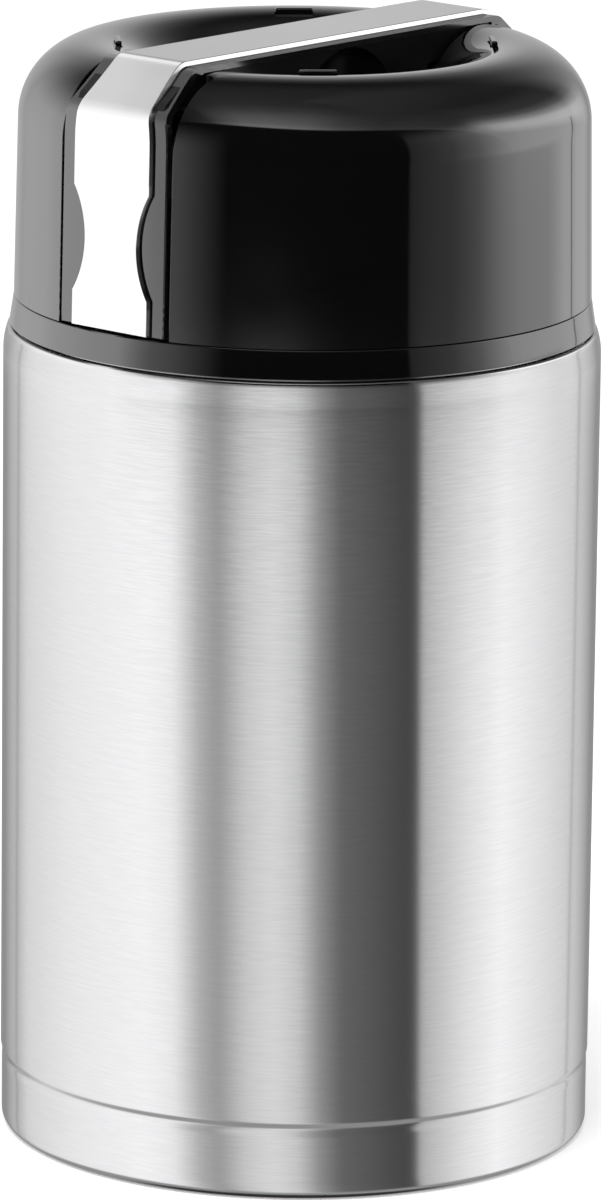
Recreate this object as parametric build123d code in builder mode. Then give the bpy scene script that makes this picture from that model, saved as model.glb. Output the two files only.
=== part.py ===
from build123d import *
from math import cos, radians, sin, sqrt, tan
import os

os.makedirs("parts", exist_ok=True)

# An insulated wide-mouth food jar. Millimetres, +Z up, origin at the centre of the base,
# handle along X. The body's diameter and height drive the rest: each neck, lid and handle
# size is a step, a thickness or a clearance from the piece that it sits on.

# ---------------------------------------------------------------- driving dimensions
# steel body
BODY_DIAMETER = 102.0
BODY_HEIGHT = 141.4  # from the table to the flat deck where the shoulder ends
SHOULDER_RADIUS = 5.0
SHELL_WALL = 0.6
FOOT_STEP = 0.2  # the band under the groove is this much smaller in radius
FOOT_EDGE_RADIUS = 1.6
FOOT_LAND = 0.8  # width of the flat ring that the jar stands on
GROOVE_HEIGHT = 12.9
GROOVE_WIDTH = 2.6
GROOVE_DEPTH = 0.55
# neck and mouth
NECK_STEP = 7.0  # from the body's wall in to the neck's
NECK_HEIGHT = 10.6
RIM_WIDTH = 2.5  # across the folded rim, from the neck to the mouth
# inner vessel
VACUUM_SPACE = 4.0  # from the body's outside to the vessel's
VESSEL_WALL = 0.5
VESSEL_FLOOR = 7.0  # underside of the vessel
VESSEL_CORNER_RADIUS = 10.0
VESSEL_SHOULDER_HEIGHT = 7.5
VESSEL_SHOULDER_DROP = 3.9  # from the deck down to where the shoulder meets the mouth
# base
BASE_RECESS = 2.6
BASE_RIM = 5.8  # the raised edge round the recess
BASE_FLANGE_HEIGHT = 5.0
PLUG_DIAMETER = 6.0
PLUG_THICKNESS = 0.8
PORT_DIAMETER = 3.0
GETTER_DIAMETER = 8.0
GETTER_THICKNESS = 1.6
GETTER_RADIUS_FROM_AXIS = 26.0
GETTER_CUP_WALL = 0.4
# stopper
STOPPER_PLAY = 0.5  # between the threaded wall and the mouth
STOPPER_WALL = 2.0
STOPPER_DEPTH = 26.0  # from the rim to the underside
STOPPER_CAP_HEIGHT = 8.0  # the part of the depth that the bottom piece takes
STOPPER_FLANGE_SETBACK = 0.8  # the flange's edge inside the neck's outside
STOPPER_FLANGE_RISE = 4.5  # top of the flange above the rim
STOPPER_DECK_DROP = 1.5
STOPPER_RIM_WIDTH = 6.0
STOPPER_CORNER_RADIUS = 3.0
STOPPER_SPIGOT = 4.0
GRIP_BAR_WIDTH = 5.0
GRIP_FLUTES = 24
GRIP_FLUTE_RADIUS = 3.0
GRIP_FLUTE_DEPTH = 0.6
GASKET_DROP = 11.5  # from the rim to the middle of the ring
GASKET_THICKNESS = 3.0
GASKET_DEPTH = 1.1
STOPPER_THREAD_LEAD = 5.0
# steam vent in the stopper
VENT_BOSS_DIAMETER = 18.0
VENT_BUTTON_DIAMETER = 12.2
VENT_BUTTON_RISE = 1.5  # above the flange
VENT_BUTTON_HEIGHT = 4.4
VENT_BUTTON_WALL = 1.2
VENT_TRAVEL = 1.5
VENT_TUBE_DIAMETER = 7.0
VENT_STEM_DIAMETER = 3.0
VENT_SEAL_DIAMETER = 8.0
VENT_SEAL_THICKNESS = 1.5
VENT_HEAD_DIAMETER = 5.0
VENT_HEAD_THICKNESS = 0.8
BEZEL_WIDTH = 1.8
BEZEL_THICKNESS = 0.6
SPRING_WIRE = 0.5
SPRING_RADIUS = 2.9
SPRING_TURNS = 3
# lid
RING_OVERLAP = 0.5  # how far the ring's lip hangs below the deck
RING_SETBACK = 1.05  # the lip's edge inside the body's wall
RING_HEIGHT = 4.75
RING_FLARE = 0.75  # the ring's bottom edge outside its top edge
CREASE = 0.25
RING_LIP = 1.1
RING_SPIGOT_HEIGHT = 3.6
LID_DRAFT = 1.1  # degrees
LID_SHOULDER_RADIUS = 13.0
LID_THICKNESS = 2.0
RIM_ROLL_RADIUS = 14.0  # the crest rolls over into the dish
RIM_ROLL_ANGLE = 62.0
# lid liner
LINER_PLAY = 0.9  # from the neck to the skirt, room for the thread
LINER_WALL = 1.1
LINER_HEADROOM = 4.0  # from the stopper's flange to the ceiling
LINER_CEILING_THICKNESS = 1.8
LID_SEAL_WIDTH = 3.0
SEAL_RIB_WIDTH = 0.8
SEAL_RIB_HEIGHT = 2.4
LID_FOAM_THICKNESS = 2.9
LID_FOAM_MARGIN = 8.6  # from the foam's edge to the lid's wall
LID_THREAD_LEAD = 5.0
# dish under the handle
DISH_DEPTH = 16.6  # from the crest to the floor
DISH_WALL = 1.8
DISH_CORNER_RADIUS = 5.0
DISH_FLANGE_WALL = 1.6
DISH_FLANGE_START_ANGLE = 12.0
TAB_WIDTH = 6.4
TAB_THICKNESS = 1.3
TAB_INSET = 4.3  # from the crest in to the tabs
TAB_RISE = 0.55
TAB_COUNT = 4
# handle
HANDLE_WIDTH = 24.0
HANDLE_RISE = 1.8  # top of the plate above the crest
HANDLE_SETBACK = 0.35  # face of the plate inside the lid's wall
HANDLE_FOOT_GAP = 0.4
BEVEL_HEIGHT = 7.7
BEVEL_RUN = 8.9  # the bevel's horizontal length
BEND_RADIUS = 4.0
LEG_THICKNESS = 1.5
BAR_THICKNESS = 0.8
BAR_FLANGE = 2.0  # the bar's edge outside the bridge
BRIDGE_DROP = 5.2  # how far the bridge cuts down into the crest
PILLAR_THICKNESS = 6.38  # from the arch's side to the dish's foot
ARCH_WEB = 0.2  # left between the arch and the bar
FRAME_MARGIN = 3.45  # the frame's edge outside the plate
PLATE_THICKNESS = 0.9
WAIST_RADIUS = 16.5
WAIST_DEPTH = 2.6
SCREW_EDGE = 2.2  # from the arch's side to a screw's axis
SCREW_DIAMETER = 2.6
SCREW_HEAD_DIAMETER = 5.0
SCREW_HEAD_HEIGHT = 1.5
SCREW_LENGTH = 7.5
# clearances
WELD_GAP = 0.02  # between sheets that are welded or pressed together
RUNNING_FIT = 0.1  # a shaft in its hole, in radius
SEAT_GAP = 0.3  # a soft or threaded piece and its seat
SLOT_GAP = 0.3  # the handle in its slot, each side
SNAP_GAP = 0.15  # pieces of the lid that snap together

# ---------------------------------------------------------------- worked-out places
# radii, from the body inwards
BODY_RADIUS = BODY_DIAMETER / 2
FOOT_RADIUS = BODY_RADIUS - FOOT_STEP
BASE_RECESS_RADIUS = FOOT_RADIUS - BASE_RIM
VESSEL_RADIUS = BODY_RADIUS - VACUUM_SPACE
NECK_RADIUS = BODY_RADIUS - NECK_STEP
MOUTH_RADIUS = NECK_RADIUS - RIM_WIDTH
STOPPER_RADIUS = MOUTH_RADIUS - STOPPER_PLAY
STOPPER_FLANGE_RADIUS = NECK_RADIUS - STOPPER_FLANGE_SETBACK
RING_RADIUS = BODY_RADIUS - RING_SETBACK
LID_WALL_RADIUS = RING_RADIUS - RING_FLARE
# heights above the table, from the deck up
RIM_HEIGHT = BODY_HEIGHT + NECK_HEIGHT
VESSEL_SHOULDER_TOP = BODY_HEIGHT - VESSEL_SHOULDER_DROP
STOPPER_UNDERSIDE = RIM_HEIGHT - STOPPER_DEPTH
STOPPER_LOW_EDGE = STOPPER_UNDERSIDE + STOPPER_CAP_HEIGHT
STOPPER_FLANGE_TOP = RIM_HEIGHT + STOPPER_FLANGE_RISE
STOPPER_DECK_TOP = STOPPER_FLANGE_TOP - STOPPER_DECK_DROP
VENT_BUTTON_TOP = STOPPER_FLANGE_TOP + VENT_BUTTON_RISE
RING_BOTTOM = BODY_HEIGHT - RING_OVERLAP
RING_TOP = RING_BOTTOM + RING_HEIGHT
LID_WALL_BOTTOM = RING_TOP + CREASE
LINER_CEILING = STOPPER_FLANGE_TOP + LINER_HEADROOM
LINER_TOP = LINER_CEILING + LINER_CEILING_THICKNESS
LID_FOAM_LOW = LINER_TOP + SEAT_GAP + LID_THREAD_LEAD
DISH_FLOOR = LID_FOAM_LOW + LID_FOAM_THICKNESS + SEAT_GAP + DISH_WALL
CREST_HEIGHT = DISH_FLOOR + DISH_DEPTH
LID_WALL_TOP = CREST_HEIGHT - LID_SHOULDER_RADIUS
ROLL_CENTRE_HEIGHT = CREST_HEIGHT - RIM_ROLL_RADIUS
HANDLE_TOP = CREST_HEIGHT + HANDLE_RISE
HANDLE_FOOT = LID_WALL_BOTTOM + HANDLE_FOOT_GAP
BEVEL_BOTTOM = HANDLE_TOP - BEVEL_HEIGHT
BRIDGE_LOW_EDGE = CREST_HEIGHT - BRIDGE_DROP
# the lid's crest and the handle's widths
LID_TOP_RADIUS = LID_WALL_RADIUS - (LID_WALL_TOP - LID_WALL_BOTTOM) * tan(radians(LID_DRAFT))
CREST_RADIUS = LID_TOP_RADIUS - LID_SHOULDER_RADIUS
BRIDGE_WIDTH = HANDLE_WIDTH - 2 * BAR_FLANGE
PLATE_WIDTH = HANDLE_WIDTH - 2 * FRAME_MARGIN


def roll_point(radius, angle):
    """A point on an arc about the rim roll's centre, at an angle inwards from the crest."""
    a = radians(angle)
    return (CREST_RADIUS - radius * sin(a), ROLL_CENTRE_HEIGHT + radius * cos(a))


def ring(inner, outer, low, high):
    """A flat ring's section: a rectangle in the XZ plane between two radii and two heights."""
    with Locations(((inner + outer) / 2, (low + high) / 2)):
        Rectangle(outer - inner, high - low)


def finish(builder, name):
    """Labels a finished piece and writes its file."""
    builder.part.label = name
    export_step(builder.part, f"parts/{name}.step")


# ================================================================ the jar
# outer shell: one steel sheet, from the edge curled under the foot to the top of the neck
with BuildPart() as outer_shell:
    with BuildSketch(Plane.XZ):
        with BuildLine():
            half_groove = GROOVE_WIDTH / 2
            land_edge = FOOT_RADIUS - FOOT_EDGE_RADIUS
            Line((land_edge - FOOT_LAND, 0), (land_edge, 0))
            curl = CenterArc((land_edge, FOOT_EDGE_RADIUS), FOOT_EDGE_RADIUS, -90, 90)
            foot = Line(curl @ 1, (FOOT_RADIUS, GROOVE_HEIGHT - half_groove))
            groove = ThreePointArc(
                foot @ 1,
                (BODY_RADIUS - GROOVE_DEPTH, GROOVE_HEIGHT),
                (BODY_RADIUS, GROOVE_HEIGHT + half_groove),
            )
            wall = Line(groove @ 1, (BODY_RADIUS, BODY_HEIGHT - SHOULDER_RADIUS))
            shoulder = RadiusArc(
                wall @ 1, (BODY_RADIUS - SHOULDER_RADIUS, BODY_HEIGHT), -SHOULDER_RADIUS
            )
            deck = Line(shoulder @ 1, (NECK_RADIUS, BODY_HEIGHT))
            neck = Line(deck @ 1, (NECK_RADIUS, RIM_HEIGHT))
            offset(amount=SHELL_WALL, side=Side.LEFT)
        make_face()
    revolve(axis=Axis.Z)
finish(outer_shell, "outer_shell")

# inner vessel: its lip is turned out under the mouth's rim and welded to the neck
with BuildPart() as inner_vessel:
    lip_underside = RIM_HEIGHT - VESSEL_WALL
    neck_outside = MOUTH_RADIUS + VESSEL_WALL
    with BuildSketch(Plane.XZ):
        with BuildLine():
            FilletPolyline(
                (0, VESSEL_FLOOR),
                (VESSEL_RADIUS, VESSEL_FLOOR),
                (VESSEL_RADIUS, VESSEL_SHOULDER_TOP - VESSEL_SHOULDER_HEIGHT),
                (neck_outside, VESSEL_SHOULDER_TOP),
                (neck_outside, lip_underside),
                (NECK_RADIUS - SHELL_WALL - WELD_GAP, lip_underside),
                radius=(VESSEL_CORNER_RADIUS, SHOULDER_RADIUS, SHOULDER_RADIUS, VESSEL_WALL / 2),
            )
            offset(amount=VESSEL_WALL, side=Side.LEFT)
        make_face()
    revolve(axis=Axis.Z)
finish(inner_vessel, "inner_vessel")

# base plate: a shallow cup pressed into the foot, with the pump-out port in its middle
with BuildPart() as base_plate:
    seat_radius = FOOT_EDGE_RADIUS - SHELL_WALL - WELD_GAP
    seat_height = FOOT_EDGE_RADIUS - seat_radius
    flange_radius = FOOT_RADIUS - SHELL_WALL - WELD_GAP
    with BuildSketch(Plane.XZ):
        with BuildLine():
            FilletPolyline(
                (PORT_DIAMETER / 2, BASE_RECESS),
                (BASE_RECESS_RADIUS, BASE_RECESS),
                (BASE_RECESS_RADIUS + BASE_RECESS - seat_height, seat_height),
                (flange_radius, seat_height),
                (flange_radius, seat_height + BASE_FLANGE_HEIGHT),
                radius=seat_radius,
            )
            offset(amount=VESSEL_WALL, side=Side.LEFT)
        make_face()
    revolve(axis=Axis.Z)
finish(base_plate, "base_plate")

# vacuum plug: the sealing bead on the pump-out port
with BuildPart() as vacuum_plug:
    with BuildSketch(Plane.XY.offset(BASE_RECESS - PLUG_THICKNESS)):
        Circle(PLUG_DIAMETER / 2)
    extrude(amount=PLUG_THICKNESS)
    fillet(vacuum_plug.edges().sort_by(Axis.Z)[0], PLUG_THICKNESS / 2)
    with BuildSketch(Plane.XY.offset(BASE_RECESS)):
        Circle(PORT_DIAMETER / 2 - WELD_GAP)
    extrude(amount=VESSEL_WALL)
finish(vacuum_plug, "vacuum_plug")

# getter: a pellet in a small cup welded to the base plate, inside the vacuum
getter_floor = BASE_RECESS + VESSEL_WALL + WELD_GAP
with BuildPart() as getter_cup:
    with BuildSketch(Plane.XY.offset(getter_floor)):
        with Locations((GETTER_RADIUS_FROM_AXIS, 0)):
            Circle(GETTER_DIAMETER / 2 + WELD_GAP + GETTER_CUP_WALL)
    extrude(amount=GETTER_CUP_WALL + GETTER_THICKNESS)
    with BuildSketch(Plane.XY.offset(getter_floor + GETTER_CUP_WALL)):
        with Locations((GETTER_RADIUS_FROM_AXIS, 0)):
            Circle(GETTER_DIAMETER / 2 + WELD_GAP)
    extrude(amount=GETTER_THICKNESS, mode=Mode.SUBTRACT)
finish(getter_cup, "getter_cup")

with BuildPart() as getter_pellet:
    with BuildSketch(Plane.XY.offset(getter_floor + GETTER_CUP_WALL + WELD_GAP)):
        with Locations((GETTER_RADIUS_FROM_AXIS, 0)):
            Circle(GETTER_DIAMETER / 2)
    extrude(amount=GETTER_THICKNESS)
finish(getter_pellet, "getter_pellet")

# ================================================================ the stopper
flange_underside = RIM_HEIGHT + SEAT_GAP
deck_underside = STOPPER_DECK_TOP - STOPPER_WALL
gasket_low = RIM_HEIGHT - GASKET_DROP - GASKET_THICKNESS / 2
gasket_high = gasket_low + GASKET_THICKNESS
gasket_outside = MOUTH_RADIUS - SEAT_GAP
gasket_inside = gasket_outside - GASKET_DEPTH
button_radius = VENT_BUTTON_DIAMETER / 2
stem_radius = VENT_STEM_DIAMETER / 2
tube_radius = VENT_TUBE_DIAMETER / 2
boss_radius = VENT_BOSS_DIAMETER / 2
button_low = VENT_BUTTON_TOP - VENT_BUTTON_HEIGHT
well_floor = button_low - VENT_TRAVEL - (SPRING_TURNS + 1) * SPRING_WIRE
boss_low = well_floor - STOPPER_WALL
bottom_floor = STOPPER_UNDERSIDE + STOPPER_WALL

# stopper body: threaded cup, flange with a fluted edge, two grip bars and the vent's well
with BuildPart() as stopper_body:
    with BuildSketch(Plane.XZ):
        ring(STOPPER_RADIUS - STOPPER_WALL, STOPPER_RADIUS, STOPPER_LOW_EDGE, STOPPER_FLANGE_TOP)
        ring(0, STOPPER_RADIUS, deck_underside, STOPPER_DECK_TOP)
        ring(
            STOPPER_FLANGE_RADIUS - STOPPER_RIM_WIDTH,
            STOPPER_FLANGE_RADIUS,
            flange_underside,
            STOPPER_FLANGE_TOP,
        )
        ring(0, boss_radius, boss_low, STOPPER_FLANGE_TOP)
        ring(0, tube_radius, bottom_floor, boss_low)
    revolve(axis=Axis.Z)
    with BuildSketch(Plane.XZ):
        ring(
            gasket_inside - SEAT_GAP,
            BODY_RADIUS + WELD_GAP,
            gasket_low - SEAT_GAP,
            gasket_high + SEAT_GAP,
        )
    revolve(axis=Axis.Z, mode=Mode.SUBTRACT)
    with BuildSketch(Plane.XY.offset(STOPPER_DECK_TOP)):
        Rectangle(2 * (STOPPER_FLANGE_RADIUS - STOPPER_RIM_WIDTH) + WELD_GAP, GRIP_BAR_WIDTH)
    extrude(amount=STOPPER_FLANGE_TOP - STOPPER_DECK_TOP)
    with BuildSketch(Plane.XY.offset(STOPPER_FLANGE_TOP)):
        with PolarLocations(STOPPER_FLANGE_RADIUS + GRIP_FLUTE_RADIUS - GRIP_FLUTE_DEPTH, GRIP_FLUTES):
            Circle(GRIP_FLUTE_RADIUS)
    extrude(amount=flange_underside - STOPPER_FLANGE_TOP, mode=Mode.SUBTRACT)
    with BuildSketch(Plane.XY.offset(STOPPER_FLANGE_TOP)):
        Circle(button_radius + RUNNING_FIT)
    extrude(amount=well_floor - STOPPER_FLANGE_TOP, mode=Mode.SUBTRACT)
    with BuildSketch(Plane.XY.offset(well_floor)):
        Circle(stem_radius + RUNNING_FIT)
    extrude(amount=STOPPER_UNDERSIDE - well_floor, mode=Mode.SUBTRACT)
finish(stopper_body, "stopper_body")

# stopper bottom: a cap with a spigot inside the body's wall, and the vent's hole
with BuildPart() as stopper_bottom:
    spigot_radius = STOPPER_RADIUS - STOPPER_WALL - SNAP_GAP
    with BuildSketch(Plane.XY.offset(STOPPER_UNDERSIDE)):
        Circle(STOPPER_RADIUS)
    extrude(amount=STOPPER_LOW_EDGE - STOPPER_UNDERSIDE - SNAP_GAP)
    fillet(stopper_bottom.edges().sort_by(Axis.Z)[0], STOPPER_CORNER_RADIUS)
    with BuildSketch(Plane.XY.offset(STOPPER_LOW_EDGE - SNAP_GAP)):
        Circle(spigot_radius)
    extrude(amount=STOPPER_SPIGOT)
    with BuildSketch(Plane.XY.offset(bottom_floor - SNAP_GAP)):
        Circle(spigot_radius - STOPPER_WALL)
    extrude(amount=STOPPER_LOW_EDGE + STOPPER_SPIGOT - STOPPER_UNDERSIDE, mode=Mode.SUBTRACT)
    with BuildSketch(Plane.XY.offset(STOPPER_UNDERSIDE)):
        Circle(stem_radius + 2 * SEAT_GAP)
    extrude(amount=STOPPER_WALL, mode=Mode.SUBTRACT)
finish(stopper_bottom, "stopper_bottom")

# gasket: a soft ring in the body's groove, against the mouth
with BuildPart() as stopper_gasket:
    with BuildSketch(Plane.XZ) as gasket_section:
        ring(gasket_inside, gasket_outside, gasket_low, gasket_high)
        fillet(gasket_section.vertices().group_by(Axis.X)[-1], GASKET_DEPTH / 2)
    revolve(axis=Axis.Z)
finish(stopper_gasket, "stopper_gasket")

# foam: it lies under the deck and leaves one lead of the thread free below it
with BuildPart() as stopper_foam:
    with BuildSketch(Plane.XZ):
        ring(
            boss_radius + SEAT_GAP,
            spigot_radius - STOPPER_WALL - SEAT_GAP,
            bottom_floor + SEAT_GAP + STOPPER_THREAD_LEAD,
            deck_underside - SEAT_GAP,
        )
    revolve(axis=Axis.Z)
finish(stopper_foam, "stopper_foam")

# ---------------------------------------------------------------- the steam vent
seal_top = STOPPER_UNDERSIDE - SEAT_GAP
seal_low = seal_top - VENT_SEAL_THICKNESS

with BuildPart() as vent_bezel:
    with BuildSketch(Plane.XZ):
        bezel_inside = button_radius + RUNNING_FIT
        ring(
            bezel_inside,
            bezel_inside + BEZEL_WIDTH,
            STOPPER_FLANGE_TOP,
            STOPPER_FLANGE_TOP + BEZEL_THICKNESS,
        )
    revolve(axis=Axis.Z)
    fillet(vent_bezel.edges().group_by(Axis.Z)[-1].sort_by(SortBy.LENGTH)[-1], BEZEL_THICKNESS / 2)
finish(vent_bezel, "vent_bezel")

# button: a hollow cap that slides in the well
with BuildPart() as vent_button:
    with BuildSketch(Plane.XY.offset(button_low)):
        Circle(button_radius)
    extrude(amount=VENT_BUTTON_HEIGHT)
    fillet(vent_button.edges().sort_by(Axis.Z)[-1], VENT_BUTTON_WALL)
    with BuildSketch(Plane.XY.offset(button_low)):
        Circle(button_radius - VENT_BUTTON_WALL)
        Circle(stem_radius + VENT_BUTTON_WALL, mode=Mode.SUBTRACT)
    extrude(amount=VENT_BUTTON_HEIGHT - 2 * VENT_BUTTON_WALL, mode=Mode.SUBTRACT)
    with BuildSketch(Plane.XY.offset(button_low)):
        Circle(stem_radius + WELD_GAP)
    extrude(amount=VENT_BUTTON_HEIGHT - 2 * VENT_BUTTON_WALL, mode=Mode.SUBTRACT)
finish(vent_button, "vent_button")

# stem: from inside the button to the head that holds the seal
with BuildPart() as vent_stem:
    stem_top = VENT_BUTTON_TOP - 2 * VENT_BUTTON_WALL - WELD_GAP
    with BuildSketch(Plane.XY.offset(seal_low - WELD_GAP - VENT_HEAD_THICKNESS)):
        Circle(VENT_HEAD_DIAMETER / 2)
    extrude(amount=VENT_HEAD_THICKNESS)
    with BuildSketch(Plane.XY.offset(seal_low - WELD_GAP)):
        Circle(stem_radius)
    extrude(amount=stem_top - seal_low + WELD_GAP)
finish(vent_stem, "vent_stem")

with BuildPart() as vent_seal:
    with BuildSketch(Plane.XY.offset(seal_low)):
        Circle(VENT_SEAL_DIAMETER / 2)
        Circle(stem_radius + WELD_GAP, mode=Mode.SUBTRACT)
    extrude(amount=VENT_SEAL_THICKNESS)
finish(vent_seal, "vent_seal")

# spring: closed turns between the well's floor and the button's cap
with BuildPart() as vent_spring:
    spring_low = well_floor + SPRING_WIRE / 2 + WELD_GAP
    spring_high = VENT_BUTTON_TOP - 2 * VENT_BUTTON_WALL - SPRING_WIRE / 2 - WELD_GAP
    spring_height = spring_high - spring_low
    with BuildLine(Plane.XY.offset(spring_low)):
        coil = Helix(spring_height / SPRING_TURNS, spring_height, SPRING_RADIUS + SPRING_WIRE)
    with BuildSketch(Plane(origin=coil @ 0, z_dir=coil % 0)):
        Circle(SPRING_WIRE / 2)
    sweep()
finish(vent_spring, "vent_spring")

# ================================================================ the lid
liner_inside = NECK_RADIUS + LINER_PLAY
liner_outside = liner_inside + LINER_WALL
liner_low = BODY_HEIGHT + SEAT_GAP
seal_inside = STOPPER_FLANGE_RADIUS - (STOPPER_RIM_WIDTH + LID_SEAL_WIDTH) / 2
seal_outside = seal_inside + LID_SEAL_WIDTH
ring_step = BODY_HEIGHT + 2 * SEAT_GAP
slot_width = HANDLE_WIDTH + 2 * SLOT_GAP
bridge_slot_width = BRIDGE_WIDTH + 2 * SLOT_GAP
bridge_slot_low = BRIDGE_LOW_EDGE - SLOT_GAP
roll_inner_radius = RIM_ROLL_RADIUS - LID_THICKNESS
rim_edge = roll_point(RIM_ROLL_RADIUS, RIM_ROLL_ANGLE)
rim_edge_below = roll_point(roll_inner_radius, RIM_ROLL_ANGLE)
crest = (CREST_RADIUS, CREST_HEIGHT)
crest_below = (CREST_RADIUS, CREST_HEIGHT - LID_THICKNESS)
leg_slot_start = CREST_RADIUS + LID_THICKNESS / 2
tab_radius = CREST_RADIUS - TAB_INSET
dish_foot = rim_edge[0] - (rim_edge[1] - DISH_FLOOR) / tan(radians(RIM_ROLL_ANGLE))
arch_radius = dish_foot - PILLAR_THICKNESS
screw_spacing = 2 * (arch_radius + SCREW_EDGE)


def side_slots(start, end, width):
    """Two rectangles across the X axis, from start to end on each side of the lid's axis."""
    with Locations(((start + end) / 2, 0), (-(start + end) / 2, 0)):
        Rectangle(end - start, width)


def tab_places():
    """Where the snap tabs stand: midway between the handle's legs and its sides."""
    return PolarLocations(tab_radius, TAB_COUNT, start_angle=180 / TAB_COUNT)


# lid shell: drafted wall, round shoulder and a crest that rolls over into the dish, with a
# slot down each side for the handle's legs and four windows for the dish's snap tabs
with BuildPart() as lid_shell:
    with BuildSketch(Plane.XZ):
        with BuildLine():
            wall = Line((LID_WALL_RADIUS, LID_WALL_BOTTOM), (LID_TOP_RADIUS, LID_WALL_TOP))
            RadiusArc(wall @ 1, crest, -LID_SHOULDER_RADIUS)
            RadiusArc(crest, rim_edge, -RIM_ROLL_RADIUS)
            Line(rim_edge, rim_edge_below)
            RadiusArc(rim_edge_below, crest_below, roll_inner_radius)
            shoulder_end = (LID_TOP_RADIUS - LID_THICKNESS, LID_WALL_TOP)
            RadiusArc(crest_below, shoulder_end, LID_SHOULDER_RADIUS - LID_THICKNESS)
            Polyline(shoulder_end, (LID_WALL_RADIUS - LID_THICKNESS, LID_WALL_BOTTOM), wall @ 0)
        make_face()
    revolve(axis=Axis.Z)
    with BuildSketch(Plane.XY.offset(LID_WALL_BOTTOM)):
        side_slots(leg_slot_start, BODY_DIAMETER, slot_width)
    extrude(amount=CREST_HEIGHT, mode=Mode.SUBTRACT)
    with BuildSketch(Plane.XY.offset(bridge_slot_low)):
        side_slots(MOUTH_RADIUS / 2, leg_slot_start, bridge_slot_width)
    extrude(amount=CREST_HEIGHT, mode=Mode.SUBTRACT)
    with BuildSketch(Plane.XY.offset(ROLL_CENTRE_HEIGHT)):
        with tab_places():
            Rectangle(TAB_THICKNESS + 2 * SNAP_GAP, TAB_WIDTH + 2 * SNAP_GAP)
    extrude(amount=CREST_HEIGHT, mode=Mode.SUBTRACT)
finish(lid_shell, "lid_shell")

# base ring: the flared band under the crease, with a lip over the shoulder and a spigot
# inside the shell that is notched for the legs
with BuildPart() as lid_base_ring:
    spigot_outside = LID_WALL_RADIUS - LID_THICKNESS - SNAP_GAP
    spigot_inside = liner_outside + WELD_GAP
    with BuildSketch(Plane.XZ):
        with BuildLine():
            Polyline(
                (RING_RADIUS, RING_BOTTOM),
                (LID_WALL_RADIUS, RING_TOP),
                (spigot_outside, RING_TOP),
                (spigot_outside, RING_TOP + RING_SPIGOT_HEIGHT),
                (spigot_inside, RING_TOP + RING_SPIGOT_HEIGHT),
                (spigot_inside, ring_step),
                (RING_RADIUS - RING_LIP, ring_step),
                (RING_RADIUS - RING_LIP, RING_BOTTOM),
                close=True,
            )
        make_face()
    revolve(axis=Axis.Z)
    with BuildSketch(Plane.XY.offset(RING_TOP)):
        side_slots(MOUTH_RADIUS, BODY_RADIUS, slot_width)
    extrude(amount=RING_SPIGOT_HEIGHT, mode=Mode.SUBTRACT)
finish(lid_base_ring, "lid_base_ring")

# liner: the inner cup, whose skirt carries the thread, with two ribs that hold the seal
with BuildPart() as lid_liner:
    rib_low = LINER_CEILING - SEAL_RIB_HEIGHT
    with BuildSketch(Plane.XZ):
        ring(liner_inside, liner_outside, liner_low, LINER_TOP)
        ring(0, liner_outside, LINER_CEILING, LINER_TOP)
        ring(seal_outside + SEAT_GAP, seal_outside + SEAT_GAP + SEAL_RIB_WIDTH, rib_low, LINER_TOP)
        ring(seal_inside - SEAT_GAP - SEAL_RIB_WIDTH, seal_inside - SEAT_GAP, rib_low, LINER_TOP)
    revolve(axis=Axis.Z)
    fillet(lid_liner.edges().group_by(Axis.Z)[-1], LINER_CEILING_THICKNESS / 2)
finish(lid_liner, "lid_liner")

with BuildPart() as lid_seal:
    with BuildSketch(Plane.XZ) as seal_section:
        ring(seal_inside, seal_outside, STOPPER_FLANGE_TOP + SEAT_GAP, LINER_CEILING - SEAT_GAP)
        fillet(seal_section.vertices().group_by(Axis.Y)[0], LID_SEAL_WIDTH / 4)
    revolve(axis=Axis.Z)
finish(lid_seal, "lid_seal")

# lid foam: a disc round the screw heads, with one lead of the thread free below it
with BuildPart() as lid_foam:
    with BuildSketch(Plane.XZ):
        ring(
            (screw_spacing + SCREW_HEAD_DIAMETER) / 2 + SEAT_GAP,
            LID_TOP_RADIUS - LID_THICKNESS - LID_FOAM_MARGIN,
            LID_FOAM_LOW,
            LID_FOAM_LOW + LID_FOAM_THICKNESS,
        )
    revolve(axis=Axis.Z)
finish(lid_foam, "lid_foam")

# dish: the finger bowl that continues the shell's rolled rim, with a flange under the rim
# and four tabs that snap through its windows
down_the_wall = (-cos(radians(RIM_ROLL_ANGLE)), -sin(radians(RIM_ROLL_ANGLE)))
flange_outer_radius = roll_inner_radius - SNAP_GAP
flange_inner_radius = flange_outer_radius - DISH_FLANGE_WALL


def wall_point(radius, distance):
    """A point beside the dish's wall: an arc radius at the rim's edge, moved down the wall."""
    x, z = roll_point(radius, RIM_ROLL_ANGLE)
    return (x + down_the_wall[0] * distance, z + down_the_wall[1] * distance)


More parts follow.
